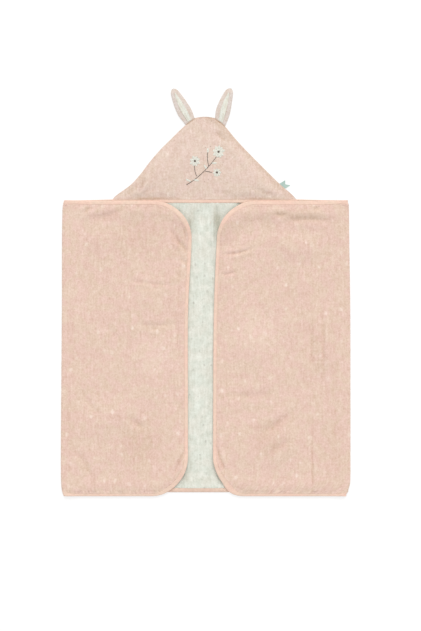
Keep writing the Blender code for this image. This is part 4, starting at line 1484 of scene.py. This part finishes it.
def makeSprig():
    petals, hearts, stems = [], [], []
    heart, (long, slant) = sprig["heart"], sprig["knotLength"]
    turned, turnPace = sprig["petalTurns"]
    stretched, stretchPace = sprig["petalReaches"]
    for x, y, reach, count, turn in sprig["daisies"]:
        for k in range(count):
            angle = radians(turn) + 2 * pi * k / count + turned * np.sin(turnPace * k + turn)
            end = reach * (1 + stretched * np.sin(stretchPace * k + turn))
            petals += satinLines(x, y, angle, heart, end, sprig["petalWidth"] * reach)
        for k in range(sprig["knots"]):
            away = heart * sprig["knotReach"] * np.sqrt((k + 0.5) / sprig["knots"])
            angle = k * sprig["knotTurn"]
            knotX, knotY = x + away * np.cos(angle), y + away * np.sin(angle)
            hearts.append([(knotX - long / 2, knotY), (knotX + long / 2, knotY + slant)])
    for row in sprig["stems"]:
        stems += stemLines(row)
    leaf = (sprig["leafWidth"], sprig["leafSlant"])
    for x, y, length, turn in sprig["leaves"]:
        petals += satinLines(x, y, radians(turn), sprig["leafStart"], length, *leaf)
    seeds = [[(x - size / 2, y), (x + size / 2, y + size / 3)] for x, y, size in sprig["seeds"]]
    sewn("sprigPetals", "thread_light", lightThread, petals, sprig["petalThread"])
    sewn("sprigHearts", "thread_dark", darkThread, hearts, sprig["knotThread"])
    sewn("sprigStems", "thread_dark", darkThread, stems, sprig["stemThread"])
    sewn("sprigSeeds", "thread_dark", darkThread, seeds, sprig["seedThread"])


studio = {
    "viewCentre": (0.00993, 0.07734),
    "viewHeight": 1.4923,  # how much of the towel's plane the picture's height covers
    "viewPlane": 0.006,
    "lens": 85.0,
    "sensor": 36.0,
    "floor": 30.0,
    "floorColour": (0.33, 0.33, 0.33),
    "floorGlow": 0.66,  # the table is lit from within, as for a picture on white
    "keyFrom": (0.12, 1.0, 1.0),
    "keyWidth": 46.0,  # degrees, so that its shadows are soft
    "keyStrength": 1.6,
    "sky": 0.8,
}


def makeCamera():
    lens = bpy.data.cameras.new("camera")
    lens.lens = studio["lens"]
    lens.sensor_fit = "VERTICAL"
    lens.sensor_height = studio["sensor"]
    camera = inScene("camera", lens)
    away = studio["viewHeight"] * studio["lens"] / studio["sensor"]
    camera.location = (*studio["viewCentre"], studio["viewPlane"] + away)
    bpy.context.scene.camera = camera


def makeFloor():
    half = studio["floor"] / 2
    mesh = bpy.data.meshes.new("floor")
    corners = [(-half, -half, -gap), (half, -half, -gap), (half, half, -gap), (-half, half, -gap)]
    mesh.from_pydata(corners, [], [(0, 1, 2, 3)])
    glow = {"Emission_Color": (1.0, 1.0, 1.0), "Emission_Strength": studio["floorGlow"]}
    paper = Finish("floorPaper", Base_Color=studio["floorColour"], Roughness=0.9, **glow)
    mesh.materials.append(paper.material)
    inScene("floor", mesh)


def makeLight():
    # A wide lamp so far away that it lights the whole towel evenly, and a white sky
    lamp = bpy.data.lights.new("key", "SUN")
    lamp.angle = radians(studio["keyWidth"])
    lamp.energy = studio["keyStrength"]
    light = inScene("key", lamp)
    light.location = studio["keyFrom"]
    light.rotation_euler = Vector(studio["keyFrom"]).to_track_quat("Z", "Y").to_euler()
    world = bpy.data.worlds.new("world")
    world.use_nodes = True
    sky = world.node_tree.nodes["Background"]
    sky.inputs["Color"].default_value = (1.0, 1.0, 1.0, 1.0)
    sky.inputs["Strength"].default_value = studio["sky"]
    bpy.context.scene.world = world
    bpy.context.scene.view_settings.view_transform = "Standard"


print("body and tape")
makeBody()
print("hood")
makeHood()
print("ears")
for ear in ears["pair"]:
    makeEar(ear)
print("ribbon and sprig")
makeRibbon()
makeSprig()
print("studio")
makeCamera()
makeFloor()
makeLight()
